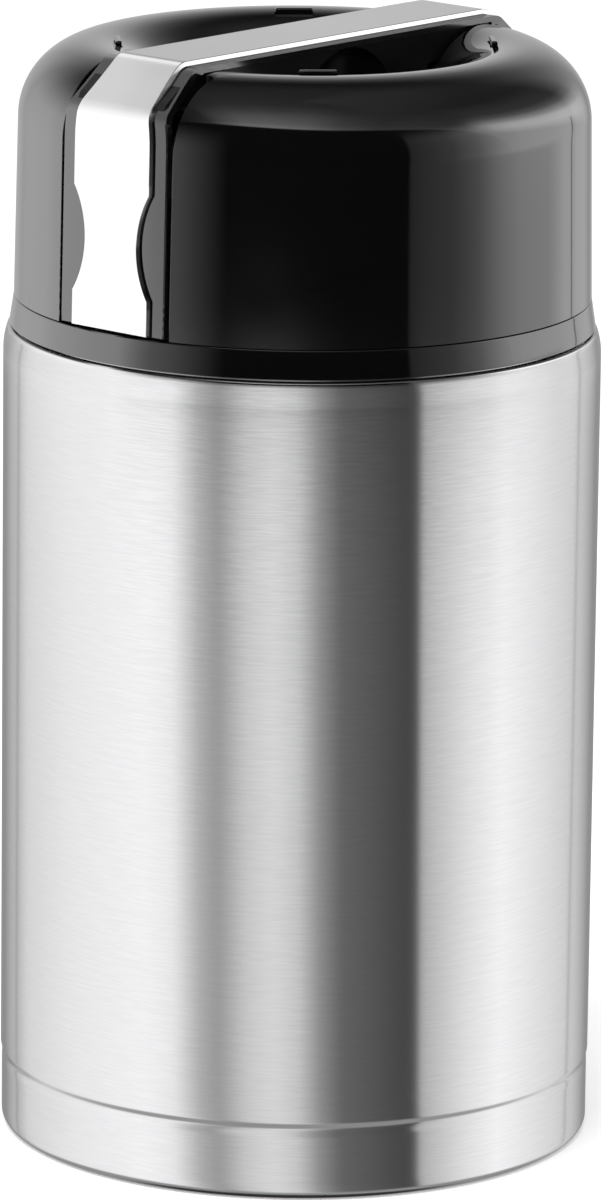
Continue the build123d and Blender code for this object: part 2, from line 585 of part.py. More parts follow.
with BuildPart() as lid_dish:
    with BuildSketch(Plane.XZ):
        with BuildLine():
            FilletPolyline(
                (0, DISH_FLOOR),
                (dish_foot, DISH_FLOOR),
                wall_point(RIM_ROLL_RADIUS, SNAP_GAP),
                radius=DISH_CORNER_RADIUS,
            )
            offset(amount=DISH_WALL, side=Side.RIGHT)
        make_face()
        with BuildLine():
            Polyline(
                wall_point(RIM_ROLL_RADIUS, SNAP_GAP),
                wall_point(RIM_ROLL_RADIUS, SNAP_GAP + DISH_WALL),
                wall_point(flange_inner_radius, SNAP_GAP + DISH_WALL),
                wall_point(flange_inner_radius, SNAP_GAP),
                close=True,
            )
        make_face()
        with BuildLine():
            flange_end = RIM_ROLL_ANGLE + 2
            top = CenterArc(
                (CREST_RADIUS, ROLL_CENTRE_HEIGHT),
                flange_outer_radius,
                90 + DISH_FLANGE_START_ANGLE,
                flange_end - DISH_FLANGE_START_ANGLE,
            )
            underneath = CenterArc(
                (CREST_RADIUS, ROLL_CENTRE_HEIGHT),
                flange_inner_radius,
                90 + DISH_FLANGE_START_ANGLE,
                flange_end - DISH_FLANGE_START_ANGLE,
            )
            Line(top @ 0, underneath @ 0)
            Line(top @ 1, underneath @ 1)
        make_face()
    revolve(axis=Axis.Z)
    flange_middle = (flange_inner_radius + flange_outer_radius) / 2
    tab_low = ROLL_CENTRE_HEIGHT + sqrt(
        flange_middle**2 - (CREST_RADIUS - tab_radius) ** 2
    )
    with BuildSketch(Plane.XY.offset(tab_low)):
        with tab_places():
            Rectangle(TAB_THICKNESS, TAB_WIDTH)
    extrude(amount=CREST_HEIGHT + TAB_RISE - tab_low)
    with BuildSketch(Plane.XY.offset(bridge_slot_low)):
        side_slots(MOUTH_RADIUS / 2, BODY_RADIUS, bridge_slot_width)
    extrude(amount=CREST_HEIGHT, mode=Mode.SUBTRACT)
    with BuildSketch(Plane.XY.offset(DISH_FLOOR)):
        with GridLocations(screw_spacing, 0, 2, 1):
            Circle(SCREW_DIAMETER / 2 + SNAP_GAP)
    extrude(amount=-DISH_WALL, mode=Mode.SUBTRACT)
finish(lid_dish, "lid_dish")

# ---------------------------------------------------------------- the handle
half_length = LID_WALL_RADIUS - HANDLE_SETBACK
leg_lean = tan(radians(LID_DRAFT))
bend_low = half_length - (BEVEL_BOTTOM - HANDLE_FOOT) * leg_lean
bend_high = bend_low - BEVEL_RUN
arch_centre = HANDLE_TOP - PLATE_THICKNESS - BAR_THICKNESS - ARCH_WEB - arch_radius
bar_top = HANDLE_TOP - PLATE_THICKNESS
bar_underside = bar_top - BAR_THICKNESS


def handle_section(inset):
    """The area under the handle's outline in the XZ plane, pulled in by an inset."""
    toe = half_length + HANDLE_FOOT * leg_lean
    with BuildSketch(Plane.XZ, mode=Mode.PRIVATE) as section:
        with BuildLine():
            outline = FilletPolyline(
                (-toe, 0),
                (-bend_low, BEVEL_BOTTOM),
                (-bend_high, HANDLE_TOP),
                (bend_high, HANDLE_TOP),
                (bend_low, BEVEL_BOTTOM),
                (toe, 0),
                radius=BEND_RADIUS,
            )
            Line(outline @ 0, outline @ 1)
        make_face()
        if inset > 0:
            offset(amount=-inset, kind=Kind.INTERSECTION, mode=Mode.REPLACE)
        with Locations((0, HANDLE_FOOT)):
            Rectangle(BODY_DIAMETER, HANDLE_TOP, align=(Align.CENTER, Align.MIN), mode=Mode.INTERSECT)
    return section.sketch


# handle frame: two flat legs and a flanged bar, over a bridge wall that stands in the dish
# and is cut by the finger arch
with BuildPart() as handle_frame:
    with BuildSketch(Plane.XZ):
        add(handle_section(PLATE_THICKNESS))
        add(handle_section(PLATE_THICKNESS + LEG_THICKNESS), mode=Mode.SUBTRACT)
        with Locations((0, bar_underside)):
            Rectangle(
                2 * (leg_slot_start + SLOT_GAP),
                HANDLE_TOP,
                align=(Align.CENTER, Align.MAX),
                mode=Mode.SUBTRACT,
            )
    extrude(amount=HANDLE_WIDTH / 2, both=True)
    with BuildSketch(Plane.XZ):
        add(handle_section(PLATE_THICKNESS))
        with Locations((0, BRIDGE_LOW_EDGE)):
            Rectangle(BODY_DIAMETER, HANDLE_TOP, align=(Align.CENTER, Align.MIN), mode=Mode.INTERSECT)
    extrude(amount=BRIDGE_WIDTH / 2, both=True)
    with BuildSketch(Plane.XZ):
        with BuildLine():
            wall_top = BRIDGE_LOW_EDGE + SNAP_GAP
            wall_top_radius = (
                rim_edge[0] + (wall_top - rim_edge[1]) / tan(radians(RIM_ROLL_ANGLE)) - SEAT_GAP
            )
            foot = FilletPolyline(
                (0, DISH_FLOOR),
                (dish_foot - SEAT_GAP, DISH_FLOOR),
                (wall_top_radius, wall_top),
                radius=DISH_CORNER_RADIUS,
            )
            Polyline(foot @ 1, (0, wall_top), foot @ 0)
        make_face()
    bowl_filling = revolve(axis=Axis.Z, mode=Mode.PRIVATE)
    with BuildSketch(Plane.XY.offset(DISH_FLOOR), mode=Mode.PRIVATE) as bridge_plan:
        Rectangle(BODY_DIAMETER, BRIDGE_WIDTH)
    bridge_slab = extrude(bridge_plan.sketch, amount=HANDLE_TOP - DISH_FLOOR, mode=Mode.PRIVATE)
    add(bowl_filling & bridge_slab)
    with BuildSketch(Plane.XZ):
        with Locations((0, arch_centre)):
            Circle(arch_radius)
            Rectangle(2 * arch_radius, arch_centre, align=(Align.CENTER, Align.MAX))
    extrude(amount=HANDLE_WIDTH, both=True, mode=Mode.SUBTRACT)
    with BuildSketch(Plane.XY.offset(DISH_FLOOR)):
        with GridLocations(screw_spacing, 0, 2, 1):
            Circle(SCREW_DIAMETER / 2 + WELD_GAP)
    extrude(amount=SCREW_LENGTH - DISH_WALL + SNAP_GAP, mode=Mode.SUBTRACT)
finish(handle_frame, "handle_frame")

# handle plate: one bent strap with a flat bar, bevelled shoulders and waisted legs
with BuildPart() as handle_plate:
    with BuildSketch(Plane.XZ):
        add(handle_section(0))
        add(handle_section(PLATE_THICKNESS), mode=Mode.SUBTRACT)
    extrude(amount=PLATE_WIDTH / 2, both=True)
    with BuildSketch(Plane.YZ):
        waist_centre = PLATE_WIDTH / 2 + WAIST_RADIUS - WAIST_DEPTH
        waist_height = (LID_WALL_BOTTOM + LID_WALL_TOP) / 2
        with Locations((waist_centre, waist_height), (-waist_centre, waist_height)):
            Circle(WAIST_RADIUS)
    extrude(amount=BODY_DIAMETER, both=True, mode=Mode.SUBTRACT)
finish(handle_plate, "handle_plate")

# screws: up through the dish's floor into the bridge
with BuildPart() as handle_screws:
    floor_underside = DISH_FLOOR - DISH_WALL
    with BuildSketch(Plane.XY.offset(floor_underside - SCREW_HEAD_HEIGHT)):
        with GridLocations(screw_spacing, 0, 2, 1):
            Circle(SCREW_HEAD_DIAMETER / 2)
    extrude(amount=SCREW_HEAD_HEIGHT)
    fillet(handle_screws.edges().group_by(Axis.Z)[0], SCREW_HEAD_HEIGHT / 2)
    with BuildSketch(Plane.XY.offset(floor_underside)):
        with GridLocations(screw_spacing, 0, 2, 1):
            Circle(SCREW_DIAMETER / 2)
    extrude(amount=SCREW_LENGTH)
finish(handle_screws, "handle_screws")
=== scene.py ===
"""An insulated food jar: brushed steel body, gloss black screw lid with a finger dish, and a
chrome strap handle on a black frame. Sizes are millimetres until mesh() makes them metres."""

from math import cos, radians, sin, tan

import bmesh
import bpy
import numpy as np
from mathutils import Matrix, Vector


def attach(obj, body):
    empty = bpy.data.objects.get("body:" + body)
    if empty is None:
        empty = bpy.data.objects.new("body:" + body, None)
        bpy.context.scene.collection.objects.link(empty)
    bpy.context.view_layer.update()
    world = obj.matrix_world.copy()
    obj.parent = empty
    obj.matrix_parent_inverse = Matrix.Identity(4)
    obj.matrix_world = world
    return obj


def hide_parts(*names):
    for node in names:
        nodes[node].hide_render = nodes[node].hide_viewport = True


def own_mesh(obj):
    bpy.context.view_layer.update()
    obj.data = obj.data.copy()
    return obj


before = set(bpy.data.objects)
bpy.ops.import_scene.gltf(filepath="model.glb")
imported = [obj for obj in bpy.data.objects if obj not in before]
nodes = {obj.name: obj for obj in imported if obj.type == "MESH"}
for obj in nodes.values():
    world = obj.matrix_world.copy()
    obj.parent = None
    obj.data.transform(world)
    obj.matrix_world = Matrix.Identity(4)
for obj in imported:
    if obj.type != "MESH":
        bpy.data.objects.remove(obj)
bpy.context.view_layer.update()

MM = 0.001

# ---------------------------------------------------------------- sizes, as in the solids
# The jar. Radii are to the outer face unless the name says otherwise; heights are over the foot.
BODY_RADIUS = 50.975
FOOT_RADIUS = 50.8
FOOT_LAND = (48.4, 49.2)  # radii of the flat ring that the jar stands on
FOOT_CURL = 1.6
FOOT_LINE_BOTTOM, FOOT_LINE_LOW, FOOT_LINE_TOP, FOOT_LINE_DIP = 10.9, 12.4, 13.75, 0.075
SHOULDER_CORNER, SHOULDER_END = 137.9, 50.2  # height of the corner, radius at the end
SHOULDER_BEND, SEAT_BEND = 12.0, 0.62
RING_SEAT = 140.45
DECK_STEP = (48.7, 48.1)  # radii between which the seat steps up to the deck
DECK = 141.4
NECK_RADIUS = 44.0
RIM = 152.0
MOUTH_RADIUS = 41.5  # the opening's radius
SHELL_WALL = 0.6
VESSEL_WALL = 0.5
WELD_GAP = 0.02
VESSEL_RADIUS, VESSEL_FLOOR = 47.0, 7.0
VESSEL_SHOULDER = (130.0, 137.5)
VESSEL_BENDS = (10, 5, 5, 0.25)
BASE_HOLE, BASE_FACE_RADIUS = 1.5, 45.0
BASE_FACE, BASE_SKIRT, BASE_BEND = 2.6, 5.0, 0.98
THREAD_LEAD = 5.0
NECK_THREAD, MOUTH_THREAD = 143.2, 143.3  # heights where the ridges start
THREAD_ROOT = 0.12  # how deep a ridge reaches into its wall
RIDGE_BUMP, RIDGE_SINK = 1.35, 0.02  # the bump's height before it is cut at 1, its edges' depth
RIDGE_FADE = 0.45  # in radians

# The stopper and its vent.
STOPPER_RADIUS = 41.0
COIL_RADIUS, COIL_WIRE, COIL_TURNS = 3.4, 0.25, 3  # wire as a radius
COIL_LOW, COIL_HIGH = 150.37, 155.33  # the wire's middle at both ends

# The lid.
LINER_RADIUS = 44.9
RING_BOTTOM, RING_TOP = 140.9, 145.76
RING_RADIUS, RING_INSIDE = 49.95, 46.02
RING_LIP, RING_ROOF = 1.1, 142.0  # the lip's width, and the height of the face behind it
WALL_BOTTOM, WALL_TOP = 145.9, 176.2
WALL_RADIUS = 49.2
DRAFT = 1.1  # in degrees
SHOULDER_RADIUS = 13.0
LID_THICKNESS = 2.0
CREST_RADIUS = WALL_RADIUS - (WALL_TOP - WALL_BOTTOM) * tan(radians(DRAFT)) - SHOULDER_RADIUS
CREST = 189.2
ROLL_RADIUS, ROLL_ANGLE = 14.0, 62.0  # the rim's roll into the dish, angle in degrees
DISH_FLOOR = 172.6
DISH_WALL, DISH_BEND = 1.8, 5.0
SNAP_GAP = 0.15
FLANGE_THICKNESS = 1.6
FLANGE_START, FLANGE_CUT = 12.0, 44.9  # degrees round the roll: its edge, and the slot's end
LEG_SLOT, BRIDGE_SLOT = 12.3, 10.3  # half widths
SLOT_STEP_RADIUS = 38.3
BRIDGE_SLOT_LOW = 183.7
TAB_RADIUS, TAB_HALF_WIDTH, TAB_THICKNESS = 31.8, 3.2, 1.0
TAB_BOTTOM, TAB_TOP = 184.6, 189.6
TAB_WINDOW = 6.04  # half the window's angle, in degrees
TAB_WINDOW_HALF = 0.62

# The handle.
HANDLE_FOOT, HANDLE_TOP = 146.3, 191.0
HANDLE_HALF = 48.85  # from the axis to a leg's face, at its foot
BEVEL_BOTTOM, BEVEL_RUN = 183.3, 8.9
BEND_RADIUS = 4.0
BAR_END = 37.0
BAR_NARROWING, NARROWING_START = 1.5, 178.0  # each side comes in from the legs to the bar
PLATE_HALF_WIDTH, PLATE_THICKNESS = 8.4, 0.76
PLATE_FLARE = 0.2  # how much wider the plate is at its back
WAIST_RADIUS, WAIST_DEPTH, WAIST_HEIGHT = 16.5, 2.6, 161.05
FRAME_HALF_WIDTH, FRAME_THICKNESS, FRAME_GAP = 11.5, 1.5, 0.01
BAR_UNDERSIDE = 189.3
SEAM_WIDTH, SEAM_DEPTH = 0.36, 0.45  # groove in the frame beside the plate, on the legs
SEAM_GAP, SEAM_SIDE = 0.02, 0.03  # from the plate to the groove, and across its sloping sides
BRIDGE_HALF_WIDTH, BRIDGE_LEDGE = 9.6, 184.0
BRIDGE_FIT, BRIDGE_REACH = 10.0, 23.9  # Y at which it meets the bowl, radius over the ledge
BRIDGE_CLEAR = 0.3  # from the bridge's ends to the bowl
UNDER_BEVEL = (BRIDGE_LEDGE, 185.0, BAR_UNDERSIDE), (46.2, 45.6, 39.6)  # heights, X of its end
ARCH_RADIUS, ARCH_CENTRE = 12.0, 177.1

# In mm, how close an edge lies to a line that picks it, to an end of that line or a top, and to
# one side of a strap.
NEAR, NEAR_END, NEAR_SIDE = 0.02, 0.05, 0.012
MERGE, CREASE = 2e-7, 35  # doubles are closer in metres, creases sharper in degrees


# ---------------------------------------------------------------- profiles in a plane
def straight(start, end, steps):
    """Evenly spaced points from start to end, both included."""
    t = np.linspace(0, 1, steps + 1)[:, None]
    return np.array(start) * (1 - t) + np.array(end) * t


def arc(centre, radius, first, last, steps):
    """Points at centre + radius (cos a, sin a), with a going from first to last in degrees."""
    a = np.radians(np.linspace(first, last, steps + 1))
    return np.column_stack((centre[0] + radius * np.cos(a), centre[1] + radius * np.sin(a)))


def joined(*runs):
    """Runs of points end to end, without the points that two runs share."""
    points = np.concatenate(runs)
    step = np.linalg.norm(np.diff(points, axis=0), axis=1)
    return points[np.concatenate(([True], step > 1e-6))]


def rounded(corners, radii, steps=8, spacing=4.0):
    """A polyline whose inner corners are replaced by tangent arcs. The arc at a corner starts
    radius / tan(half the corner's angle) before it, and straight runs are cut at the spacing."""
    p = [np.array(c, float) for c in corners]
    runs, start = [], p[0]
    for before, corner, after, radius in zip(p, p[1:], p[2:], radii):
        a, b = before - corner, after - corner
        a, b = a / np.linalg.norm(a), b / np.linalg.norm(b)
        half = np.arccos(np.clip(a @ b, -1, 1)) / 2
        first, last = corner + a * radius / np.tan(half), corner + b * radius / np.tan(half)
        centre = corner + (a + b) / np.linalg.norm(a + b) * radius / np.sin(half)
        runs.append(straight(start, first, max(1, int(np.hypot(*(first - start)) / spacing))))
        u, v = first - centre, last - centre
        turn = np.pi - 2 * half
        t = np.linspace(0, turn, steps + 1)[:, None]
        runs.append(centre + (u * np.sin(turn - t) + v * np.sin(t)) / np.sin(turn))
        start = last
    runs.append(straight(start, p[-1], max(1, int(np.hypot(*(p[-1] - start)) / spacing))))
    return joined(*runs)


def beside(path, distance):
    """The path moved sideways, to its left, along the mean normal of the runs at each point."""
    d = np.diff(path, axis=0)
    n = np.column_stack((-d[:, 1], d[:, 0])) / np.linalg.norm(d, axis=1)[:, None]
    mean = np.concatenate((n[:1], (n[1:] + n[:-1]) / 2, n[-1:]))
    return path + mean * (distance / (mean**2).sum(1))[:, None]


# ---------------------------------------------------------------- surfaces
def cells(rows, columns, close_rows, close_columns):
    """Vertex numbers of the four corners of each cell of a grid, as arrays of cells."""
    i = np.arange(rows if close_rows else rows - 1)[:, None]
    j = np.arange(columns if close_columns else columns - 1)[None, :]
    low, high = i * columns, (i + 1) % rows * columns
    right = (j + 1) % columns
    return np.stack((low + j, low + right, high + right, high + j), -1)


def turned(loop, steps=288):
    """A closed section loop (radius, height) turned once round Z: each point goes to
    (r cos a, r sin a, z). Points on the axis fall together and are merged later."""
    a = np.linspace(0, 2 * np.pi, steps, endpoint=False)
    r, z = loop[:, 0][:, None], loop[:, 1][:, None]
    points = np.stack((r * np.cos(a), r * np.sin(a), np.broadcast_to(z, (len(loop), steps))), -1)
    return points.reshape(-1, 3), cells(len(loop), steps, True, True).reshape(-1, 4)


def sheet_loop(path, thickness):
    """The closed section of a sheet: the path, then the same path moved sideways, backwards."""
    return np.concatenate((path, beside(path, thickness)[::-1]))


def walled(outer, inner, kept, close_columns=False):
    """A solid between two grids of equal shape. Cells that are kept get a face on each grid,
    and every edge between a kept cell and a missing one gets a wall from grid to grid."""
    rows, columns = outer.shape[:2]
    quads = cells(rows, columns, False, close_columns)
    count = rows * columns
    front = quads[kept]
    back = front[:, ::-1] + count
    padded = np.pad(kept, ((1, 1), (0, 0)))
    sides = []
    low = padded[1:-1] & ~padded[:-2]
    high = padded[1:-1] & ~padded[2:]
    if close_columns:
        left, right = kept & ~np.roll(kept, 1, 1), kept & ~np.roll(kept, -1, 1)
    else:
        wide = np.pad(kept, ((0, 0), (1, 1)))
        left, right = wide[:, 1:-1] & ~wide[:, :-2], wide[:, 1:-1] & ~wide[:, 2:]
    for edge, (a, b) in ((low, (0, 1)), (right, (1, 2)), (high, (2, 3)), (left, (3, 0))):
        q = quads[edge]
        sides.append(np.column_stack((q[:, b], q[:, a], q[:, a] + count, q[:, b] + count)))
    points = np.concatenate((outer.reshape(-1, 3), inner.reshape(-1, 3)))
    return points, np.concatenate([front, back, *sides])


def new_object(name, points, faces, material):
    """A smooth mesh object in the scene, from points in metres."""
    data = bpy.data.meshes.new(name)
    data.from_pydata(points.tolist(), [], faces.tolist())
    data.materials.append(material)
    data.polygons.foreach_set("use_smooth", np.ones(len(data.polygons), bool))
    piece = bpy.data.objects.new(name, data)
    bpy.context.scene.collection.objects.link(piece)
    return piece


def round_edges(piece, soft_edges, width):
    """Bevels the edges that soft_edges(first ends, second ends) weighs, ends being in mm."""
    data = piece.data
    place = np.empty(len(data.vertices) * 3)
    data.vertices.foreach_get("co", place)
    pairs = np.empty(len(data.edges) * 2, int)
    data.edges.foreach_get("vertices", pairs)
    ends = place.reshape(-1, 3)[pairs.reshape(-1, 2)] / MM
    weight = data.attributes.new("bevel_weight_edge", "FLOAT", "EDGE")
    weight.data.foreach_set("value", soft_edges(ends[:, 0], ends[:, 1]).astype(np.float32))
    bevel = piece.modifiers.new("Rounded edges", "BEVEL")
    bevel.limit_method = "WEIGHT"
    bevel.width = width * MM
    bevel.segments = 3
    bevel.use_clamp_overlap = True
    flat_first = piece.modifiers.new("Flat faces first", "WEIGHTED_NORMAL")
    flat_first.keep_sharp = True


def mesh(name, shape, body, material, replaces=(), soft_edges=None, width=0.3):
    """Puts (points, faces) into a mesh object that rides on a body: doubles merged, faces
    turned outwards, creases kept sharp, and the soft edges rounded."""
    points, faces = shape
    piece = new_object(name, points * MM, faces, material)
    work = bmesh.new()
    work.from_mesh(piece.data)
    bmesh.ops.remove_doubles(work, verts=work.verts, dist=MERGE)
    loose = [v for v in work.verts if not v.link_faces]
    bmesh.ops.delete(work, geom=loose, context="VERTS")
    bmesh.ops.recalc_face_normals(work, faces=work.faces)
    work.to_mesh(piece.data)
    work.free()
    piece.data.set_sharp_from_angle(angle=radians(CREASE))
    if soft_edges is not None:
        round_edges(piece, soft_edges, width)
    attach(piece, body)
    if replaces:
        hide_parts(*replaces)
    return piece


# ---------------------------------------------------------------- shader helpers
class Tree:
    """Short hands for one node tree: each call adds a node and gives back its output."""

    def __init__(self, tree):
        self.tree = tree

    def add(self, kind, out=0, inputs=(), **settings):
        node = self.tree.nodes.new(kind)
        for key, value in settings.items():
            setattr(node, key, value)
        for key, value in dict(inputs).items():
            self.feed(node.inputs[key], value)
        return node.outputs[out]

    def feed(self, socket, value):
        if isinstance(value, bpy.types.NodeSocket):
            self.tree.links.new(value, socket)
        else:
            socket.default_value = value

    def math(self, operation, a, b=0.0):
        return self.add("ShaderNodeMath", 0, {0: a, 1: b}, operation=operation)

    def times(self, product, *others):
        for other in others:
            product = self.math("MULTIPLY", product, other)
        return product

    def plus(self, total, *others):
        for other in others:
            total = self.math("ADD", total, other)
        return total

    def minus(self, a, b):
        return self.math("SUBTRACT", a, b)

    def between(self, value, low, high, to_low=0.0, to_high=1.0, smooth=True):
        kind = "SMOOTHSTEP" if smooth else "LINEAR"
        inputs = {"Value": value, "From Min": low, "From Max": high,
                  "To Min": to_low, "To Max": to_high}
        return self.add("ShaderNodeMapRange", 0, inputs, interpolation_type=kind)

    def dot(self, vector, axis):
        inputs = {0: vector, 1: axis}
        return self.add("ShaderNodeVectorMath", "Value", inputs, operation="DOT_PRODUCT")

    def stretched(self, vector, scale):
        inputs = {0: vector, 1: scale}
        return self.add("ShaderNodeVectorMath", 0, inputs, operation="MULTIPLY")

    def noise(self, vector, scale, detail, roughness=0.5):
        inputs = {"Vector": vector, "Scale": scale, "Detail": detail, "Roughness": roughness}
        return self.add("ShaderNodeTexNoise", 0, inputs)

    def tint(self, factor, first, second):
        node = self.tree.nodes.new("ShaderNodeMix")
        node.data_type = "RGBA"
        self.feed(node.inputs[0], factor)
        self.feed(node.inputs[6], (*first, 1))
        self.feed(node.inputs[7], (*second, 1))
        return node.outputs[2]

    def ramp(self, value, stops):
        node = self.tree.nodes.new("ShaderNodeValToRGB")
        self.feed(node.inputs[0], value)
        line = node.color_ramp
        line.elements[0].position, line.elements[1].position = stops[0][0], stops[-1][0]
        for place, _ in stops[1:-1]:
            line.elements.new(place)
        for element, (_, tone) in zip(line.elements, stops):
            element.color = (tone, tone, tone, 1)
        return node.outputs[0]

    def group(self, tree, inputs):
        node = self.tree.nodes.new("ShaderNodeGroup")
        node.node_tree = tree
        for key, value in inputs.items():
            self.feed(node.inputs[key], value)
        return node.outputs


def node_group(name, inputs, outputs):
    """A new shader node group: its Tree, what it is given and the sockets of its results."""
    tree = bpy.data.node_groups.new(name, "ShaderNodeTree")
    for key, kind in inputs.items():
        tree.interface.new_socket(name=key, in_out="INPUT", socket_type=kind)
    for key in outputs:
        tree.interface.new_socket(name=key, in_out="OUTPUT", socket_type="NodeSocketFloat")
    given, result = tree.nodes.new("NodeGroupInput"), tree.nodes.new("NodeGroupOutput")
    return Tree(tree), given.outputs, result.inputs


VALUE, VECTOR = "NodeSocketFloat", "NodeSocketVector"


def turned_grain_group():
    """Fine short lines round Z, from noise whose Z is stretched far more than X and Y. Lines
    goes from 0 to 1; Patches is a slow cloud that leaves some places rubbed brighter."""
    t, given, result = node_group(
        "turned grain", {"Vector": VECTOR, "Along": VALUE, "Across": VALUE}, ("Lines", "Patches")
    )
    scale = {0: given["Along"], 1: given["Along"], 2: given["Across"]}
    stretched = t.stretched(given["Vector"], t.add("ShaderNodeCombineXYZ", 0, scale))
    t.feed(result["Lines"], t.between(t.noise(stretched, 1.0, 2.0, 0.6), 0.3, 0.7))
    t.feed(result["Patches"], t.noise(given["Vector"], 24.0, 2.0))
    return t.tree


def moulded_skin_group():
    """A moulded face: Peel is a long soft swell of the surface, Grain a fine texture, and Haze
    the faint cloud that handling leaves, all from noise at three sizes."""
    t, given, result = node_group(
        "moulded skin", {"Vector": VECTOR, "Swell": VALUE, "Fine": VALUE}, ("Peel", "Grain", "Haze")
    )
    t.feed(result["Peel"], t.noise(given["Vector"], given["Swell"], 1.0))
    t.feed(result["Grain"], t.noise(given["Vector"], given["Fine"], 2.0, 0.6))
    t.feed(result["Haze"], t.noise(given["Vector"], 38.0, 3.0, 0.55))
    return t.tree


TURNED_GRAIN = turned_grain_group()
MOULDED_SKIN = moulded_skin_group()
PEEL = 0.0000003  # height of the soft swell in gloss faces, in metres
# The jar's shoulder, levelled by turned_metal, in metres: where it starts, how long the bend is,
# the divisor of the bend's square, and the slope after it.
LEVEL_START, LEVEL_BEND, LEVEL_CURVE, LEVEL_SLOPE = 0.1361, 0.0034, 0.0224, 0.304


def finish(name, colour, **constants):
    """A material with a Principled BSDF whose constants sit on its own sockets: the material,
    its Tree, the shader's sockets and the object's coordinates."""
    material = bpy.data.materials.new(name)
    material.use_nodes = True
    t = Tree(material.node_tree)
    sockets = material.node_tree.nodes["Principled BSDF"].inputs
    sockets["Base Color"].default_value = (*colour, 1)
    for key, value in constants.items():
        sockets[key.replace("_", " ")].default_value = value
    return material, t, sockets, t.add("ShaderNodeTexCoord", "Object")


def bump(t, sockets, height, strength=1.0, distance=1.0):
    """Feeds a height through a Bump node into the shader's normal. Distance is in metres."""
    inputs = {"Height": height, "Strength": strength, "Distance": distance}
    t.feed(sockets["Normal"], t.add("ShaderNodeBump", 0, inputs))


def turned_metal(name, colour, dark, roughness, spread, along, across, stretch, shoulder=False):
    """Metal brushed round Z: lines tint the colour and swing the roughness, and the highlight
    is stretched across them, up and down the wall. On the jar's soft shoulder the brushing
    carries the wall's highlight on up to the lid: a height that grows with Z as the shoulder
    falls back, first with the square of Z and then evenly, levels its shading."""
    material, t, sockets, place = finish(
        name, colour, Metallic=1.0, Anisotropic=stretch, Anisotropic_Rotation=0.25)
    grain = t.group(TURNED_GRAIN, {"Vector": place, "Along": along, "Across": across})
    t.feed(sockets["Base Color"], t.tint(grain["Lines"], dark, colour))
    swing = t.between(grain["Lines"], 0.0, 1.0, roughness + spread, roughness - spread)
    rub = t.between(grain["Patches"], 0.3, 0.7, 0.006, -0.006)
    t.feed(sockets["Roughness"], t.plus(swing, rub))
    round_z = t.add("ShaderNodeTangent", 0, direction_type="RADIAL", axis="Z")
    t.feed(sockets["Tangent"], round_z)
    if shoulder:
        rise = t.math("MAXIMUM", t.minus(t.dot(place, (0, 0, 1)), LEVEL_START), 0.0)
        bend = t.math("MINIMUM", rise, LEVEL_BEND)
        curved = t.math("DIVIDE", t.times(bend, bend), LEVEL_CURVE)
        bump(t, sockets, t.plus(curved, t.times(t.minus(rise, bend), LEVEL_SLOPE)))
    return material


def gloss(name, colour, haze, roughness, crown=None, **constants):
    """A smooth finish: a soft swell in the skin, and a roughness that clouds slightly. With a
    crown, flat faces curve very slightly across Y, like a drum of that radius: the height
    falls by Y squared / (2 radius)."""
    material, t, sockets, place = finish(name, colour, **constants)
    skin = t.group(MOULDED_SKIN, {"Vector": place, "Swell": 55.0, "Fine": 900.0})
    t.feed(sockets["Base Color"], t.tint(skin["Haze"], colour, haze))
    t.feed(sockets["Roughness"], t.between(skin["Haze"], 0.3, 0.7, roughness, roughness + 0.03))
    height = t.times(skin["Peel"], PEEL)
    if crown:
        across = t.dot(place, (0, 1, 0))
        height = t.minus(height, t.times(across, across, 0.5 / crown))
    bump(t, sockets, height)
    return material


def matt(name, colour, other, roughness, fine, height, **constants):
    """Matt plastic, rubber or foam: fine grain in the colour, the roughness and the height."""
    material, t, sockets, place = finish(name, colour, **constants)
    skin = t.group(MOULDED_SKIN, {"Vector": place, "Swell": 60.0, "Fine": fine})
    t.feed(sockets["Base Color"], t.tint(skin["Grain"], colour, other))
    cloud = t.between(skin["Haze"], 0.3, 0.7, roughness - 0.05, roughness + 0.05)
    t.feed(sockets["Roughness"], cloud)
    bump(t, sockets, skin["Grain"], 0.4, height)
    return material


SHELL_STEEL = turned_metal(
    "brushed shell steel", (0.765, 0.765, 0.775), dark=(0.731, 0.731, 0.741),
    roughness=0.155, spread=0.009, along=190.0, across=5200.0, stretch=0.7, shoulder=True)
VESSEL_STEEL = turned_metal(
    "satin vessel steel", (0.66, 0.66, 0.67), dark=(0.60, 0.60, 0.61),
    roughness=0.33, spread=0.04, along=24.0, across=1500.0, stretch=0.5)
SPRING_STEEL = turned_metal(
    "drawn steel", (0.62, 0.62, 0.63), dark=(0.55, 0.55, 0.56),
    roughness=0.28, spread=0.05, along=24.0, across=900.0, stretch=0.3)
CHROME = gloss("bright chrome", (0.92, 0.92, 0.925), (0.90, 0.90, 0.905), 0.13, Metallic=1.0)
LID_BLACK = gloss(
    "gloss black lid", (0.0022, 0.0022, 0.0024), (0.003, 0.003, 0.0032), 0.05,
    Coat_Weight=1.0, Coat_Roughness=0.03, Coat_IOR=1.7, IOR=1.9)
FRAME_TONES = (0.004, 0.004, 0.0043), (0.006, 0.006, 0.0063)
FRAME_BLACK = gloss(
    "gloss black frame", *FRAME_TONES, 0.09, crown=WALL_RADIUS * MM,
    Coat_Weight=1.0, Coat_IOR=1.7, IOR=1.9)
ARCH_BLACK = gloss("satin black arch", *FRAME_TONES, 0.24, IOR=1.42)
LINER_BLACK = matt(
    "black liner", (0.028, 0.028, 0.03), (0.034, 0.034, 0.036),
    roughness=0.42, fine=1600.0, height=0.00002)
STOPPER_BLACK = matt(
    "black stopper", (0.03, 0.03, 0.032), (0.04, 0.04, 0.042),
    roughness=0.48, fine=1400.0, height=0.00003)
BUTTON_GREY = matt(
    "grey button", (0.30, 0.31, 0.32), (0.34, 0.35, 0.36),
    roughness=0.45, fine=1400.0, height=0.00003)
